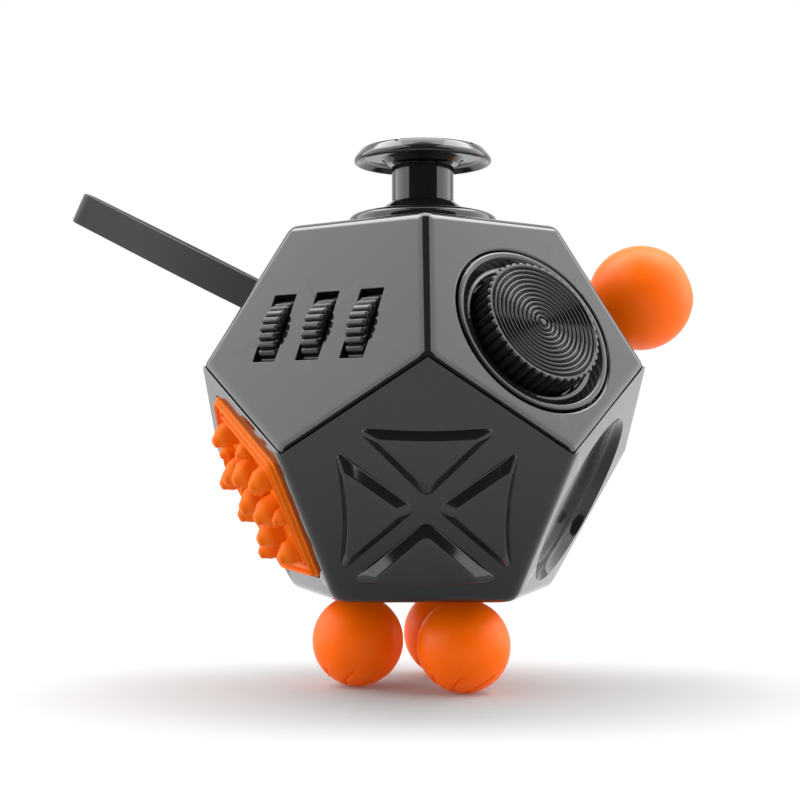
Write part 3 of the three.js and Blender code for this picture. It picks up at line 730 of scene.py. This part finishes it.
def raised_pad(name, outline, rise, wall):
    """A pad as rings that shrink towards its middle: a hollow foot, a sloping wall, a rounded top edge and
    a top that falls gently towards the face's middle."""
    middle = outline.mean(axis=0)
    half_width = 3.1
    ramp = open_path([[-0.8, 0.3, 0], [0.0, 0.3, 0.3], [rise, -wall, 0.25], [rise, -wall - 0.3, 0]], 7)
    rings = [(middle + (outline - middle) * (1 + growth / half_width), height) for height, growth in ramp]
    edge = rings[-1][0]
    rings += [(middle + (edge - middle) * share, rise) for share in (0.7, 0.35, 0.1, 0.0)]
    flat = np.stack([points for points, _ in rings])
    height = np.stack([np.full(len(outline), level) for _, level in rings])
    fall = np.clip(0.6 + 0.4 * np.hypot(flat[..., 0], flat[..., 1]) / 11, 0, 1.05)
    height = np.where(height > 0, height * fall, height)
    points = FACES["cross"].place(np.concatenate([flat, height[..., None]], axis=-1) * MM)
    faces = grid_faces(len(rings), len(outline), False, True).tolist()
    return mesh_piece(name, [(points, [*faces, np.arange(len(outline))])])


class TOY_OT_upper_shell(bpy.types.Operator):
    """Build the upper shell with its openings"""

    bl_idname = "toy.upper_shell"
    bl_label = "Upper Shell"

    def execute(self, context):
        shell = context.scene.toy_shell
        piece = hollow_half("upper_shell_skin", 1, shell, soft_body(shell.upper_edge, 0), 0.2)
        dial = FACES["dial"].local(joint_place("dial_spin"))[:2] / MM
        tools = [
            opening("joystick mouth", circle_outline(9.7, 160), FACES["joystick"], mouth=shell.mouth),
            opening("dial mouth", circle_outline(12.6, 200), FACES["dial"], dial, mouth=0.5),
            opening("strap mouth", box_outline(7.0, 6.2, 1.0), strap_spot(), mouth=shell.mouth),
            opening("ball mouth", circle_outline(2.95, 64), FACES["ball"], mouth=shell.mouth),
            opening("rocker mouth", box_outline(11.6, 16.6, 1.2), FACES["rocker"], mouth=shell.mouth),
        ]
        for name in ("left", "middle", "right"):
            place = FACES["wheels"].local(joint_place(f"wheel_{name}_spin"))
            slot = box_outline(3.9, 10.7, 0.15, 3)
            tools.append(opening(f"slot {name}", slot, FACES["wheels"], place[:2] / MM, mouth=0.1))
            axle = Spot(joint_place(f"wheel_{name}_spin"), FACES["wheels"].up, FACES["wheels"].right)
            tools.append(turned_piece(f"room {name}", rod_profile(6.5, -1.95, 1.95), axle, segments=96))
        combined(piece, tools, "DIFFERENCE")
        fitted(piece, "root", "gloss_shell", "upper_shell")
        return {"FINISHED"}


class TOY_OT_lower_shell(bpy.types.Operator):
    """Build the lower shell with its raised pads, thumb dish and openings"""

    bl_idname = "toy.lower_shell"
    bl_label = "Lower Shell"

    def execute(self, context):
        shell = context.scene.toy_shell
        body = soft_body(0.3, 0, 3, shell.lower_edge)
        piece = hollow_half("lower_shell_skin", -1, shell, body, shell.lip)
        pads = [
            raised_pad(f"pad {k}", outline, shell.pad_rise, shell.pad_wall)
            for k, outline in enumerate(pad_outlines())
        ]
        back = np.array([[0, -4.8], [12.6, -4.8], [14.0, -1.2], [0, -1.2]])
        pads.append(turned_piece("dish back", back, FACES["dish"], (0, -1), 96))
        combined(piece, pads, "UNION")
        bowl = open_path([[0, -1.1, 0], [12.1, -1.05, 0.7], [13.0, 0.0, 0.25], [15.5, 1.5, 0]], 8)
        bowl = np.vstack([bowl, [[15.5, 3.0], [0, 3.0]]])
        slant = 0.9 / (12.6 * MM)

        def tilted(angle, radius, height):
            """The dish deepens from nothing on its near side to twice its middle depth on its far side."""
            return radius, np.where(height < 0, height * (1 + slant * radius * np.cos(angle)), height)

        tools = [
            turned_piece("dish", bowl, FACES["dish"], (0, -1), 200, change=tilted),
            opening("pad seat", polygon_outline(15.8, 5, 90, 0.9), FACES["spikes"], mouth=0.25, depth=1.0),
            turned_piece("pad stud", rod_profile(5, -6, 1), FACES["spikes"]),
            opening("roller mouth", circle_outline(9.3, 120), FACES["roller"], mouth=shell.mouth),
            turned_piece("gate", np.array([[0, 0.3], [3, 0.3], [3.1, -1], [0, -1]]), BASE_FACE),
        ]
        for name in ("left", "right", "back"):
            place = joint_place(f"foot_{name}_spin")[:2] / MM
            hole = np.array([[0, -2], [4.3, -2], [2.65, -0.1], [2.35, 0.3], [2.35, 6], [0, 6]])
            tools.append(turned_piece(f"foot {name}", hole, BASE_FACE, place, 64))
        for name in BUTTONS:
            hole = circle_outline(3.0, 64)
            tools.append(opening(f"button {name}", hole, FACES["buttons"], button_centre(name), mouth=0.25))
        combined(piece, tools, "DIFFERENCE")
        fitted(piece, "root", "gloss_shell", "lower_shell")
        return {"FINISHED"}


# ---------------------------------------------------------------- joystick
class TOY_OT_joystick(bpy.types.Operator):
    """Build the joystick's thumb cap, stick with dome skirt and collar"""

    bl_idname = "toy.joystick"
    bl_label = "Joystick"

    def execute(self, context):
        top = FACES["joystick"]
        cap = open_path(
            [
                [0, 11.2, 0], [2.4, 11.2, 0.1], [2.4, 9.9, 0.1], [5.2, 9.9, 0.2], [5.9, 10.75, 0.5],
                [8.6, 10.75, 0.4], [9.75, 9.9, 0.3], [10.2, 10.15, 0.3], [10.2, 10.7, 0.5],
                [9.1, 12.1, 0.6], [8.3, 12.35, 0.4], [7.3, 12.2, 0.4], [0, 12.0, 0],
            ],
            8,
        )
        thumb_cap = turned_piece("joystick_cap_skin", cap, top, segments=240)
        notches = []
        wedge = corner_rounded([[-0.75, -1.6, 0.2], [0.6, -1.6, 0], [0.6, 1.6, 0], [-0.75, 1.6, 0.2]])
        wedge_levels = [[-0.35, -0.1], [-0.25, 0], [0.25, 0], [0.35, -0.1]]
        notch_reach, notch_height = 9.3, 12.55
        for turn in np.radians([20, 95, 170, 245, 320]):
            x, y = notch_reach * math.cos(turn), notch_reach * math.sin(turn)
            centre = top.place(np.array([x, y, notch_height]) * MM)
            across = Spot(centre, [0, 0, 1], [-math.sin(turn), math.cos(turn), 0])
            notches.append(carried_piece("notch", wedge, wedge_levels, across))
        combined(thumb_cap, notches, "DIFFERENCE")
        dome = 9.0
        pivot = top.local(joint_place("joystick_tilt_y"))[2] / MM
        inner, outer = np.linspace(0.28, 1.19, 16), np.linspace(1.19, 0.536, 20)
        stick = np.vstack(
            [
                open_path([[0, pivot - 4, 0], [2.2, pivot - 4, 0.3], [2.2, pivot + 4, 0]]),
                ball_arc(dome - 1, inner, pivot),
                ball_arc(dome, outer, pivot),
                open_path([[4.6, 4.7, 0], [4.6, 9.6, 0.25], [2, 9.6, 0.1], [2, 10.9, 0.2], [0, 10.9, 0]]),
            ]
        )
        rod = turned_piece("joystick_stick_skin", stick, top, segments=160)
        bore = Spot(joint_place("joystick_tilt_y"), [1, 0, 0], [0, 1, 0])
        hole = turned_piece("pin bore", rod_profile(1, -4, 4), bore, segments=32)
        combined(rod, [hole], "DIFFERENCE")
        collar = corner_rounded(
            [
                [8.65, 0.15, 0.1], [11.1, 0.15, 0.1], [11.0, 1.7, 0.5], [10.2, 2.3, 0.6],
                [7.7, 2.65, 0.2], [7.25, 2.5, 0.15],
            ],
            8,
        )
        ring = turned_piece("joystick_collar_skin", collar, top, segments=200, closed=True)
        fitted(thumb_cap, "joystick", "gloss_shell", "joystick_cap")
        fitted(rod, "joystick", "gloss_shell", "joystick_stick")
        fitted(ring, "root", "gloss_shell", "joystick_collar")
        return {"FINISHED"}


# ---------------------------------------------------------------- wheels and dial
class TOY_OT_wheels(bpy.types.Operator):
    """Build the three ribbed wheels"""

    bl_idname = "toy.wheels"
    bl_label = "Ribbed Wheels"

    def execute(self, context):
        part = context.scene.toy_parts
        rim = open_path([[5.0, 1.6, 0.5], [6.0, 1.55, 0.45], [6.0, -1.55, 0.45], [5.0, -1.6, 0.5]], 7)
        side = [[1.15, -1.6, 0.2], [2.1, -1.6, 0.1], [2.4, -1.2, 0.3], [4.3, -1.2, 0.3], [4.7, -1.6, 0.1]]
        web = open_path(side, 4)
        profile = np.vstack([divided(rim, 0.25), web[::-1], web * [1, -1]])

        def ribbed(angle, radius, height):
            """Each rib is a rounded tooth: the groove between two is a power of a cosine that fades out
            inwards."""
            groove = (0.5 - 0.5 * np.cos(angle * part.ribs)) ** 4
            outer = np.clip((radius / MM - 5.1) / 0.5, 0, 1)
            return radius - part.rib_depth * MM * groove * outer, height

        for name in ("left", "middle", "right"):
            spot = Spot(joint_place(f"wheel_{name}_spin"), FACES["wheels"].up, FACES["wheels"].right)
            piece = turned_piece(
                f"wheel_{name}_skin", profile, spot, segments=part.ribs * 12, closed=True, change=ribbed
            )
            fitted(piece, f"wheel_{name}", "dark_plastic", f"wheel_{name}")
        return {"FINISHED"}


class TOY_OT_dial(bpy.types.Operator):
    """Build the grooved dial knob and its bezel"""

    bl_idname = "toy.dial"
    bl_label = "Dial"

    def execute(self, context):
        part = context.scene.toy_parts
        face = FACES["dial"]
        centre = face.local(joint_place("dial_spin"))[:2] / MM
        # the top is ring grooves, a wave of the radius, round a plain eye, in a shallow bowl
        top_radius, eye, pitch, high = 8.9, 0.35, 8.3 / part.rings, 2.3
        groove_depth, bowl_depth = 0.42, 0.25
        radius = np.linspace(0.02, top_radius - 0.3, 170)
        wave = 0.5 - 0.5 * np.cos(2 * np.pi * np.clip(radius - eye, 0, None) / pitch)
        land = np.clip(1 - wave, 0, 1) ** 0.7
        height = high - 0.02 - groove_depth * (1 - land) * (radius > eye)
        height -= bowl_depth * (1 - (radius / top_radius) ** 2)
        grooves = np.stack([radius, height], axis=-1)[::-1]
        shoulder = open_path([[9.25, -2.9, 0.1], [9.25, high, 0.35], [top_radius - 0.3, high, 0]], 8)
        inside = [[0, -5.0, 0], [2.7, -5.0, 0.2], [2.7, 0.8, 0.2], [8.2, 0.8, 0.3], [8.2, -2.9, 0.1]]
        hub = open_path(inside, 4)
        profile = np.vstack([hub, divided(shoulder, 0.4), grooves, [[0, grooves[-1, 1]]]])

        def knurled(angle, radius, height):
            """Scallops round the side: half-round flutes that fade out at the top edge."""
            flute = np.abs(np.sin(angle * part.knurls / 2)) ** 0.8
            outer = np.clip((radius / MM - 8.85) / 0.3, 0, 1) * np.clip((height / MM + 3.5) / 0.3, 0, 1)
            return radius - 0.5 * MM * (1 - flute) * outer, height

        knob = turned_piece("dial_knob_skin", profile, face, centre, part.knurls * 6, change=knurled)
        fitted(knob, "dial", "gloss_shell", "dial_knob")
        cup = corner_rounded(
            [
                [3, -4.2, 0.2], [12, -4.2, 0.3], [13.3, -3.7, 0.2], [13.3, -2.6, 0.2], [12.35, -2.6, 0.1],
                [12.35, -0.35, 0.1], [12.35, 0.0, 0.2], [12.0, 0.12, 0.2], [11.55, 0.05, 0.15],
                [10.35, -1.1, 0.15], [9.8, -1.0, 0.2], [9.6, -1.3, 0.15], [9.6, -3.2, 0.2], [3, -3.2, 0.2],
            ],
            6,
        )
        bezel = turned_piece("dial_bezel_skin", cup, face, centre, 240, closed=True)
        fitted(bezel, "root", "gloss_shell", "dial_bezel")
        return {"FINISHED"}


# ---------------------------------------------------------------- strap
class TOY_OT_strap(bpy.types.Operator):
    """Build the flat rubber strap loop with its foot in the shell"""

    bl_idname = "toy.strap"
    bl_label = "Strap Loop"

    def execute(self, context):
        part = context.scene.toy_parts
        face = strap_spot()
        hinge = face.local(joint_place("strap_flex"))[2] / MM
        thick, width, reach = part.band_thickness, part.band_width, 39.2
        # where the loop starts, its radius at the root and at the tip, and how far it bulges between them
        root, heel_radius, tip_radius, bulge = -1.4, 0.7, 1.25, 1.25
        t = np.linspace(0, 1, 90)
        rise = root + (reach - tip_radius - root) * t
        half = heel_radius + (tip_radius - heel_radius) * t**2 + bulge * np.abs(np.sin(np.pi * t)) ** 1.3
        tip = np.linspace(0, np.pi, 26)[1:-1]
        heel = np.linspace(np.pi, 2 * np.pi, 16)[1:-1]
        x = np.concatenate([half, tip_radius * np.cos(tip), -half[::-1], heel_radius * np.cos(heel)])
        tip_rise, heel_rise = rise[-1] + tip_radius * np.sin(tip), root + heel_radius * np.sin(heel)
        z = np.concatenate([rise, tip_rise, rise[::-1], heel_rise]) - thick / 2
        path = np.stack([x, np.zeros_like(x), z], axis=-1) * MM
        along = np.roll(path, -1, axis=0) - np.roll(path, 1, axis=0)
        along /= np.linalg.norm(along, axis=1, keepdims=True)
        outward = np.stack([along[:, 2], np.zeros(len(path)), -along[:, 0]], axis=-1)
        sideways = np.tile([0.0, 1.0, 0.0], (len(path), 1))
        section = divided(box_outline(thick, width, 0.35, 5) * MM, 0.8 * MM, closed=True)
        points, faces = swept(path, section, outward, sideways)
        band = mesh_piece("strap_band", [(face.place(points), faces)])
        foot_levels = [[-4.05, -0.3], [-3.9, 0], [-2.7, 0], [-2.55, -0.2]]
        flange = carried_piece("strap_foot", box_outline(9.6, 8.6, 1.0), foot_levels, face)
        neck_levels = [[-3, 0], [-0.45, 0], [-0.28, -0.1], [-0.2, -0.35]]
        neck = carried_piece("neck", box_outline(6.5, 5.7, 0.9), neck_levels, face)
        combined(flange, [neck], "UNION")
        bore = Spot(face.place(np.array([0, 0, -1.6]) * MM), face.right, face.up)
        hole = turned_piece("pin bore", rod_profile(1.1, -5, 5), bore, segments=32)
        seat = opening("loop seat", box_outline(2.8, 5.2, 0.4), face, mouth=0.2, depth=3.2)
        combined(flange, [hole, seat], "DIFFERENCE")
        fitted(flange, "root", "strap_rubber", "strap_anchor")
        fitted(band, None, "strap_rubber", "strap_loop")
        low = face.place(np.array([0, 0, hinge - 1.6]) * MM)
        high = face.place(np.array([0, 0, hinge + 5.0]) * MM)
        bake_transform(band)
        return {"FINISHED"}


# ---------------------------------------------------------------- balls
def swirl(centre_height, ball_radius, pole, strokes, depth, reach):
    """Engraves curved strokes round one pole of a ball, 1 for the top and -1 for the bottom. Each is a
    spiral groove, a Gaussian of the distance from its line, from 0.22 of the reach angle to all of it."""

    def change(angle, radius, height):
        """Moves each point towards the ball's centre by depth * groove * window."""
        fall = np.arctan2(radius, pole * (height - centre_height * MM))
        phase = strokes * (angle + 1.1 * fall * pole) / (2 * np.pi)
        off = np.abs(phase - np.round(phase)) / strokes * 2 * np.pi * radius / MM
        groove = np.exp(-((off / 0.28) ** 2))
        window = np.clip((fall - 0.22 * reach) / 0.08, 0, 1) * np.clip((reach - fall) / 0.08, 0, 1)
        away = np.hypot(radius, height - centre_height * MM) / MM
        outer = np.clip((away - ball_radius + 0.4) / 0.3, 0, 1)
        share = 1 - depth * groove * window * outer / ball_radius
        return radius * share, centre_height * MM + (height - centre_height * MM) * share

    return change


class TOY_OT_balls(bpy.types.Operator):
    """Build the side ball with its stem, the three feet balls and the rolling ball"""

    bl_idname = "toy.balls"
    bl_label = "Balls"

    def execute(self, context):
        face = FACES["ball"]
        lift = face.local(joint_place("side_ball_spin"))[2] / MM
        radius, sunk_radius, patch = 8.1, 7.82, 0.72
        neck = lift - radius + 0.3
        socket = [[2.5, neck + 0.3, 0], [1.6, neck + 0.3, 0.1], [1.6, neck + 8, 0.1], [0, neck + 8, 0]]
        ball = np.vstack(
            [
                ball_arc(sunk_radius, np.linspace(0, patch - 0.05, 40), lift),
                ball_arc(radius, np.linspace(patch, 2.78, 90), lift),
                open_path(socket, 4),
            ]
        )
        carve = swirl(lift, sunk_radius, 1, 5, 0.4, 0.62)
        globe = turned_piece("side_ball_skin", ball, face, segments=240, change=carve)
        fitted(globe, "side_ball", "orange_plastic", "side_ball")
        stem = open_path(
            [
                [0, -5, 0], [2, -5, 0.3], [2, -3.8, 0.1], [1.4, -3.8, 0.1], [1.4, -2.9, 0.1],
                [2.6, -2.9, 0.1], [2.6, 0.25, 0.1], [3.9, 0.25, 0.1], [3.7, 0.9, 0.3], [2.5, 1.5, 0.5],
                [2.4, neck, 0.2], [1.3, neck, 0.1], [1.3, neck + 7.5, 0.2], [0, neck + 7.5, 0],
            ]
        )
        post = turned_piece("side_ball_stem_skin", stem, face, segments=96)
        fitted(post, "root", "dark_plastic", "side_ball_stem")
        for name in ("left", "right", "back"):
            self.foot(name)
        self.roller()
        return {"FINISHED"}

    @staticmethod
    def foot(name):
        """One of the balls under the toy: its neck, its round side and a small flat to stand on."""
        radius, neck_radius, flat_radius = 6.65, 2.1, 0.9
        place = joint_place(f"foot_{name}_spin")
        drop = (place[2] - BASE_HEIGHT) / MM
        neck = [
            [0, 4.6, 0], [1.9, 4.6, 0.3], [1.9, 3.5, 0.1], [1.3, 3.5, 0.1], [1.3, 2.6, 0.1], [1.9, 2.6, 0.1],
            [1.9, -0.4, 0],
        ]
        fall = np.linspace(math.asin(neck_radius / radius), math.pi - math.asin(flat_radius / radius), 96)
        profile = np.vstack([open_path(neck, 4), ball_arc(radius, fall, drop)])
        profile = np.vstack([profile, [[0, profile[-1, 1]]]])
        carve = swirl(drop, radius, -1, 7, 0.45, 1.0)
        piece = turned_piece(f"foot_ball_{name}_skin", profile, BASE_FACE, place[:2] / MM, 224, change=carve)
        fitted(piece, f"foot_{name}", "orange_plastic", f"foot_ball_{name}")

    @staticmethod
    def roller():
        """The rolling ball and the ring that holds it."""
        face, radius = FACES["roller"], 6.0
        depth = face.local(joint_place("roller_spin"))[2] / MM
        profile = ball_arc(radius, np.linspace(0, math.pi, 96), depth)
        carve = swirl(depth, radius, 1, 6, 0.35, 0.6)
        piece = turned_piece("roller_ball_skin", profile, face, segments=192, change=carve)
        fitted(piece, "roller", "orange_plastic", "roller_ball")
        ring = corner_rounded(
            [
                [6.5, -3.4, 0.1], [9, -3.4, 0.1], [9, 0.2, 0.1], [10.4, 0.2, 0.1], [10.3, 0.9, 0.4],
                [9.6, 1.2, 0.5], [4.8, 1.2, 0.25], [5.45, 0, 0.4], [6.35, -1.9, 0.4],
            ],
            6,
        )
        bezel = turned_piece("roller_bezel_skin", ring, face, segments=180, closed=True)
        fitted(bezel, "root", "gloss_shell", "roller_bezel")


# ---------------------------------------------------------------- spiked pad
class TOY_OT_spike_pad(bpy.types.Operator):
    """Build the silicone pad with its double rim, spikes and bobbles"""

    bl_idname = "toy.spike_pad"
    bl_label = "Spiked Pad"

    def execute(self, context):
        face = FACES["spikes"]
        plate_levels = [[-0.7, -0.2], [-0.6, 0], [0.1, 0], [0.25, -0.15]]
        pad = carried_piece("spike_pad_skin", polygon_outline(15.6, 5, 90, 0.9), plate_levels, face)
        tools = []
        for radius, rise in ((14.9, 0.75), (13.6, 0.45), (12.6, 0.75)):
            turn = np.linspace(0, np.pi, 9)
            ridge = np.stack([0.15 + rise * np.sin(turn), 0.3 * np.cos(turn)], axis=-1)
            levels = np.vstack([ridge, [[-0.2, -0.3], [-0.2, 0.3]]])
            points, _ = carried(polygon_outline(radius, 5, 90, 0.9, 10), levels, face)
            tools.append(mesh_piece("rim", [(points, grid_faces(*points.shape[:2], True, True))]))
        neck = [[0, -5.2], [2.4, -5.2], [3, -4.2], [2.2, -4.2], [2.2, -2.4]]
        stud = np.array([*neck, [4.6, -2.4], [4.6, 0], [0, 0]])
        tools.append(turned_piece("stud", stud, face, segments=64))
        # how many spikes, how far from the middle, the first one's turn in degrees, and their size
        rings = (
            (1, 0, 0, 0.95), (5, 5.3, -90, 0.9), (5, 10.0, 90, 0.8), (5, 9.0, -90, 0.55), (5, 4.6, 90, 0.5)
        )
        for count, reach, first, size in rings:
            for k in range(count):
                turn = math.radians(first + 72 * k)
                base = np.array([reach * math.cos(turn), reach * math.sin(turn)])
                tools.append(mesh_piece("spike", [self.spike(face, base, size)]))
        combined(pad, tools, "UNION")
        fitted(pad, "root", "orange_silicone", "spike_pad")
        return {"FINISHED"}

    @staticmethod
    def spike(face, base, size):
        """A drop-shaped cone: its radius shrinks from a flared foot to a rounded tip, and it droops
        down the slope by the square of its height."""
        profile = open_path(
            [
                [0, 0.1, 0], [2.4 * size, 0.1, 0.1], [2.2 * size, 1.4 * size, 0.8],
                [2.1 * size, 2.6 * size, 1.0], [1.2 * size, 3.6 * size, 0.9], [0.8 * size, 4.35 * size, 0.6],
                [0, 4.4 * size, 0],
            ]
        )
        points, faces = turned(profile, face, base, 36)
        local = face.local(points)
        droop = 0.03 / MM
        local[..., 1] -= droop * np.clip(local[..., 2], 0, None) ** 2
        return face.place(local), faces


# ---------------------------------------------------------------- rocker and buttons
class TOY_OT_rocker(bpy.types.Operator):
    """Build the rocker switch and its bezel"""

    bl_idname = "toy.rocker"
    bl_label = "Rocker Switch"

    def execute(self, context):
        face = FACES["rocker"]
        pivot = face.local(joint_place("rocker_tilt"))
        rim = [[0.15, 0], [0.7, 0], [1.0, -0.15], [1.1, -0.5]]
        bezel = carried_piece("rocker_bezel_skin", box_outline(14, 19, 1.6), rim, face)
        sides = [[-3.4, -0.2], [-3.2, 0], [0.5, 0]]
        combined(bezel, [carried_piece("box", box_outline(11, 16, 1.0), sides, face)], "UNION")
        bore = Spot(face.place(pivot), face.up, face.right)
        pin = rod_profile(1, -7, 7)
        mouth = [[-6, 0], [0.75, 0], [0.95, 0.1], [1.4, 0.5], [3, 2]]
        cutters = [
            turned_piece("bore", pin, bore, segments=32),
            carried_piece("hole", box_outline(8.6, 13.6, 0.8), mouth, face),
        ]
        combined(bezel, cutters, "DIFFERENCE")
        fitted(bezel, "root", "dark_plastic", "rocker_bezel")
        lean = math.radians(-12)  # at rest the upper end is pressed in
        up = face.up * math.cos(lean) + face.out * math.sin(lean)
        spot = Spot(face.place(pivot), up, face.right)
        side = [[5.25, 3.5, 0.5], [6.0, 1.2, 1.2], [4.5, -2, 0.8]]
        outline = [*reversed(side), [0, 2.95, 3.5], *[[-x, y, r] for x, y, r in side]]
        outline = divided(corner_rounded(outline, 10), 0.6, closed=True)
        low = [[-4, -0.5], [-3.9, -0.22], [-3.7, -0.05], [-3.4, 0]]
        levels = [*low, *[[-height, growth] for height, growth in reversed(low)]]
        rocker = carried_piece("rocker_skin", outline, levels, spot)
        combined(rocker, [turned_piece("bore", pin, spot, segments=32)], "DIFFERENCE")
        fitted(rocker, "rocker", "gloss_shell", "rocker")
        return {"FINISHED"}


class TOY_OT_buttons(bpy.types.Operator):
    """Build the five push buttons"""

    bl_idname = "toy.buttons"
    bl_label = "Push Buttons"

    def execute(self, context):
        profile = open_path(
            [
                [0, -3.4, 0], [3.3, -3.4, 0.2], [3.3, -2.5, 0.2], [2.7, -2.5, 0.1], [2.7, 2.0, 0.55],
                [1.9, 2.15, 0.6], [0, 1.9, 0],
            ],
            8,
        )
        for name in BUTTONS:
            piece = turned_piece(f"button_{name}_skin", profile, FACES["buttons"], button_centre(name), 96)
            fitted(piece, f"button_{name}", "gloss_shell", f"button_{name}")
        return {"FINISHED"}


# ---------------------------------------------------------------- inner pieces
class TOY_OT_inner_pieces(bpy.types.Operator):
    """Give the frame's own inner pieces their finishes"""

    bl_idname = "toy.inner_pieces"
    bl_label = "Inner Pieces"

    def execute(self, context):
        for subpart in frame["record"]["subparts"]:
            slot, piece = subpart["material_slot"], frame["nodes"][subpart["node"]]
            if slot in ("inner_plastic", "steel") or subpart["node"] == "button_membrane":
                piece.data.materials.clear()
                piece.data.materials.append(FINISHES[slot])
        return {"FINISHED"}


# ---------------------------------------------------------------- stage
class TOY_OT_stage(bpy.types.Operator):
    """Set out the pale floor, the studio lights and the camera"""

    bl_idname = "toy.stage"
    bl_label = "Stage"

    def execute(self, context):
        scene = context.scene
        scene.view_settings.view_transform = "Standard"
        floor_mesh = bpy.data.meshes.new("floor")
        reach, height = 3.0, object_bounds()[0][2]
        corners = [(x * reach, y * reach, height) for x, y in ((-1, -1), (1, -1), (1, 1), (-1, 1))]
        floor_mesh.from_pydata(corners, [], [(0, 1, 2, 3)])
        floor = bpy.data.objects.new("floor", floor_mesh)
        scene.collection.objects.link(floor)
        floor_mesh.materials.append(self.paper())
        floor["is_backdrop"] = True
        self.lights(scene)
        self.sky(scene)
        lens = bpy.data.cameras.new("camera")
        lens.lens = 69.2
        camera = bpy.data.objects.new("camera", lens)
        scene.collection.objects.link(camera)
        offset, forward = Vector((-4.6, -227.2, -5.9)) * MM, Vector((0.0054, 0.9994, 0.0333))
        camera.location = Vector(BODY_CENTRE) + offset
        camera.rotation_euler = forward.to_track_quat("-Z", "Y").to_euler()
        scene.camera = camera
        return {"FINISHED"}

    @staticmethod
    def paper():
        """White paper that is lit by the room near the toy and glows evenly further away, so that it meets
        the backdrop without a line."""
        material = bpy.data.materials.new("White paper")
        material.use_nodes = True
        tree = material.node_tree
        surface = tree.nodes["Principled BSDF"]
        surface.inputs["Roughness"].default_value = 0.9
        surface.inputs["Specular IOR Level"].default_value = 0.1
        surface.inputs["Emission Color"].default_value = (1, 1, 1, 1)
        length = tree.nodes.new("ShaderNodeVectorMath")
        length.operation = "LENGTH"
        tree.links.new(tree.nodes.new("ShaderNodeTexCoord").outputs["Object"], length.inputs[0])
        near, far = 0.05, 0.25
        glow = mapped(tree, length.outputs["Value"], near, far, 0.05, 1.0)
        tree.links.new(glow.outputs["Result"], surface.inputs["Emission Strength"])
        left = mapped(tree, length.outputs["Value"], near, far, 0.44, 0.02)
        shade = tree.nodes.new("ShaderNodeCombineColor")
        for channel in ("Red", "Green", "Blue"):
            tree.links.new(left.outputs["Result"], shade.inputs[channel])
        tree.links.new(shade.outputs["Color"], surface.inputs["Base Color"])
        return material

    @staticmethod
    def lights(scene):
        """Two tall panels to the left and right of the camera, and one over the back. Each has its turn
        and rise in degrees, its distance, width and height in metres, and its watts."""
        middle = Vector(BODY_CENTRE)
        for name, azimuth, rise, reach, width, height, watts in (
            ("panel_left", -88, 34, 0.6, 0.85, 0.95, 7.0),
            ("panel_right", 88, 34, 0.6, 0.85, 0.95, 7.0),
            ("panel_top", 180, 76, 0.6, 0.9, 0.36, 4.5),
        ):
            turn, tilt = math.radians(azimuth), math.radians(rise)
            light = bpy.data.lights.new(name, "AREA")
            light.shape = "RECTANGLE"
            light.size, light.size_y, light.energy = width, height, watts
            lamp = bpy.data.objects.new(name, light)
            scene.collection.objects.link(lamp)
            level = math.cos(tilt)
            away = Vector((math.sin(turn) * level, -math.cos(turn) * level, math.sin(tilt)))
            lamp.location = middle + away * reach
            lamp.rotation_euler = (-away).to_track_quat("-Z", "Y").to_euler()

    @staticmethod
    def sky(scene):
        """A white backdrop behind the toy that fades to a dim room in front of it."""
        world = bpy.data.worlds.new("studio")
        world.use_nodes = True
        scene.world = world
        tree = world.node_tree
        place = tree.nodes.new("ShaderNodeTexCoord")
        parts = tree.nodes.new("ShaderNodeSeparateXYZ")
        tree.links.new(place.outputs["Generated"], parts.inputs["Vector"])
        fade = mapped(tree, parts.outputs["Y"], -0.25, 0.35, 0.06, 1.0)
        shade = tree.nodes.new("ShaderNodeCombineColor")
        for channel in ("Red", "Green", "Blue"):
            tree.links.new(fade.outputs["Result"], shade.inputs[channel])
        tree.links.new(shade.outputs["Color"], tree.nodes["Background"].inputs["Color"])


# ---------------------------------------------------------------- add-on
class TOY_PT_panel(bpy.types.Panel):
    """The toy's settings and build steps"""

    bl_label = "Finger Toy"
    bl_idname = "TOY_PT_panel"
    bl_space_type = "VIEW_3D"
    bl_region_type = "UI"
    bl_category = "Finger Toy"

    def draw(self, context):
        for settings in (context.scene.toy_shell, context.scene.toy_parts, context.scene.toy_finish):
            box = self.layout.box()
            for name in settings.__annotations__:
                box.prop(settings, name)
        for step in STEPS:
            self.layout.operator(step.bl_idname)


STEPS = (
    TOY_OT_finishes, TOY_OT_upper_shell, TOY_OT_lower_shell, TOY_OT_joystick, TOY_OT_wheels, TOY_OT_dial,
    TOY_OT_strap, TOY_OT_balls, TOY_OT_spike_pad, TOY_OT_rocker, TOY_OT_buttons, TOY_OT_inner_pieces,
    TOY_OT_stage,
)
SETTINGS = {"toy_shell": ShellSettings, "toy_parts": PartSettings, "toy_finish": FinishSettings}


def register():
    """Adds the settings, build steps and panel to Blender."""
    for kind in (*SETTINGS.values(), *STEPS, TOY_PT_panel):
        bpy.utils.register_class(kind)
    for name, kind in SETTINGS.items():
        setattr(bpy.types.Scene, name, bpy.props.PointerProperty(type=kind))


def unregister():
    """Takes them away again."""
    for name in SETTINGS:
        delattr(bpy.types.Scene, name)
    for kind in (TOY_PT_panel, *reversed(STEPS), *SETTINGS.values()):
        bpy.utils.unregister_class(kind)


def main():
    """Builds the whole toy."""
    register()
    for step in STEPS:
        group, action = step.bl_idname.split(".")
        getattr(getattr(bpy.ops, group), action)()


if __name__ == "__main__":
    main()
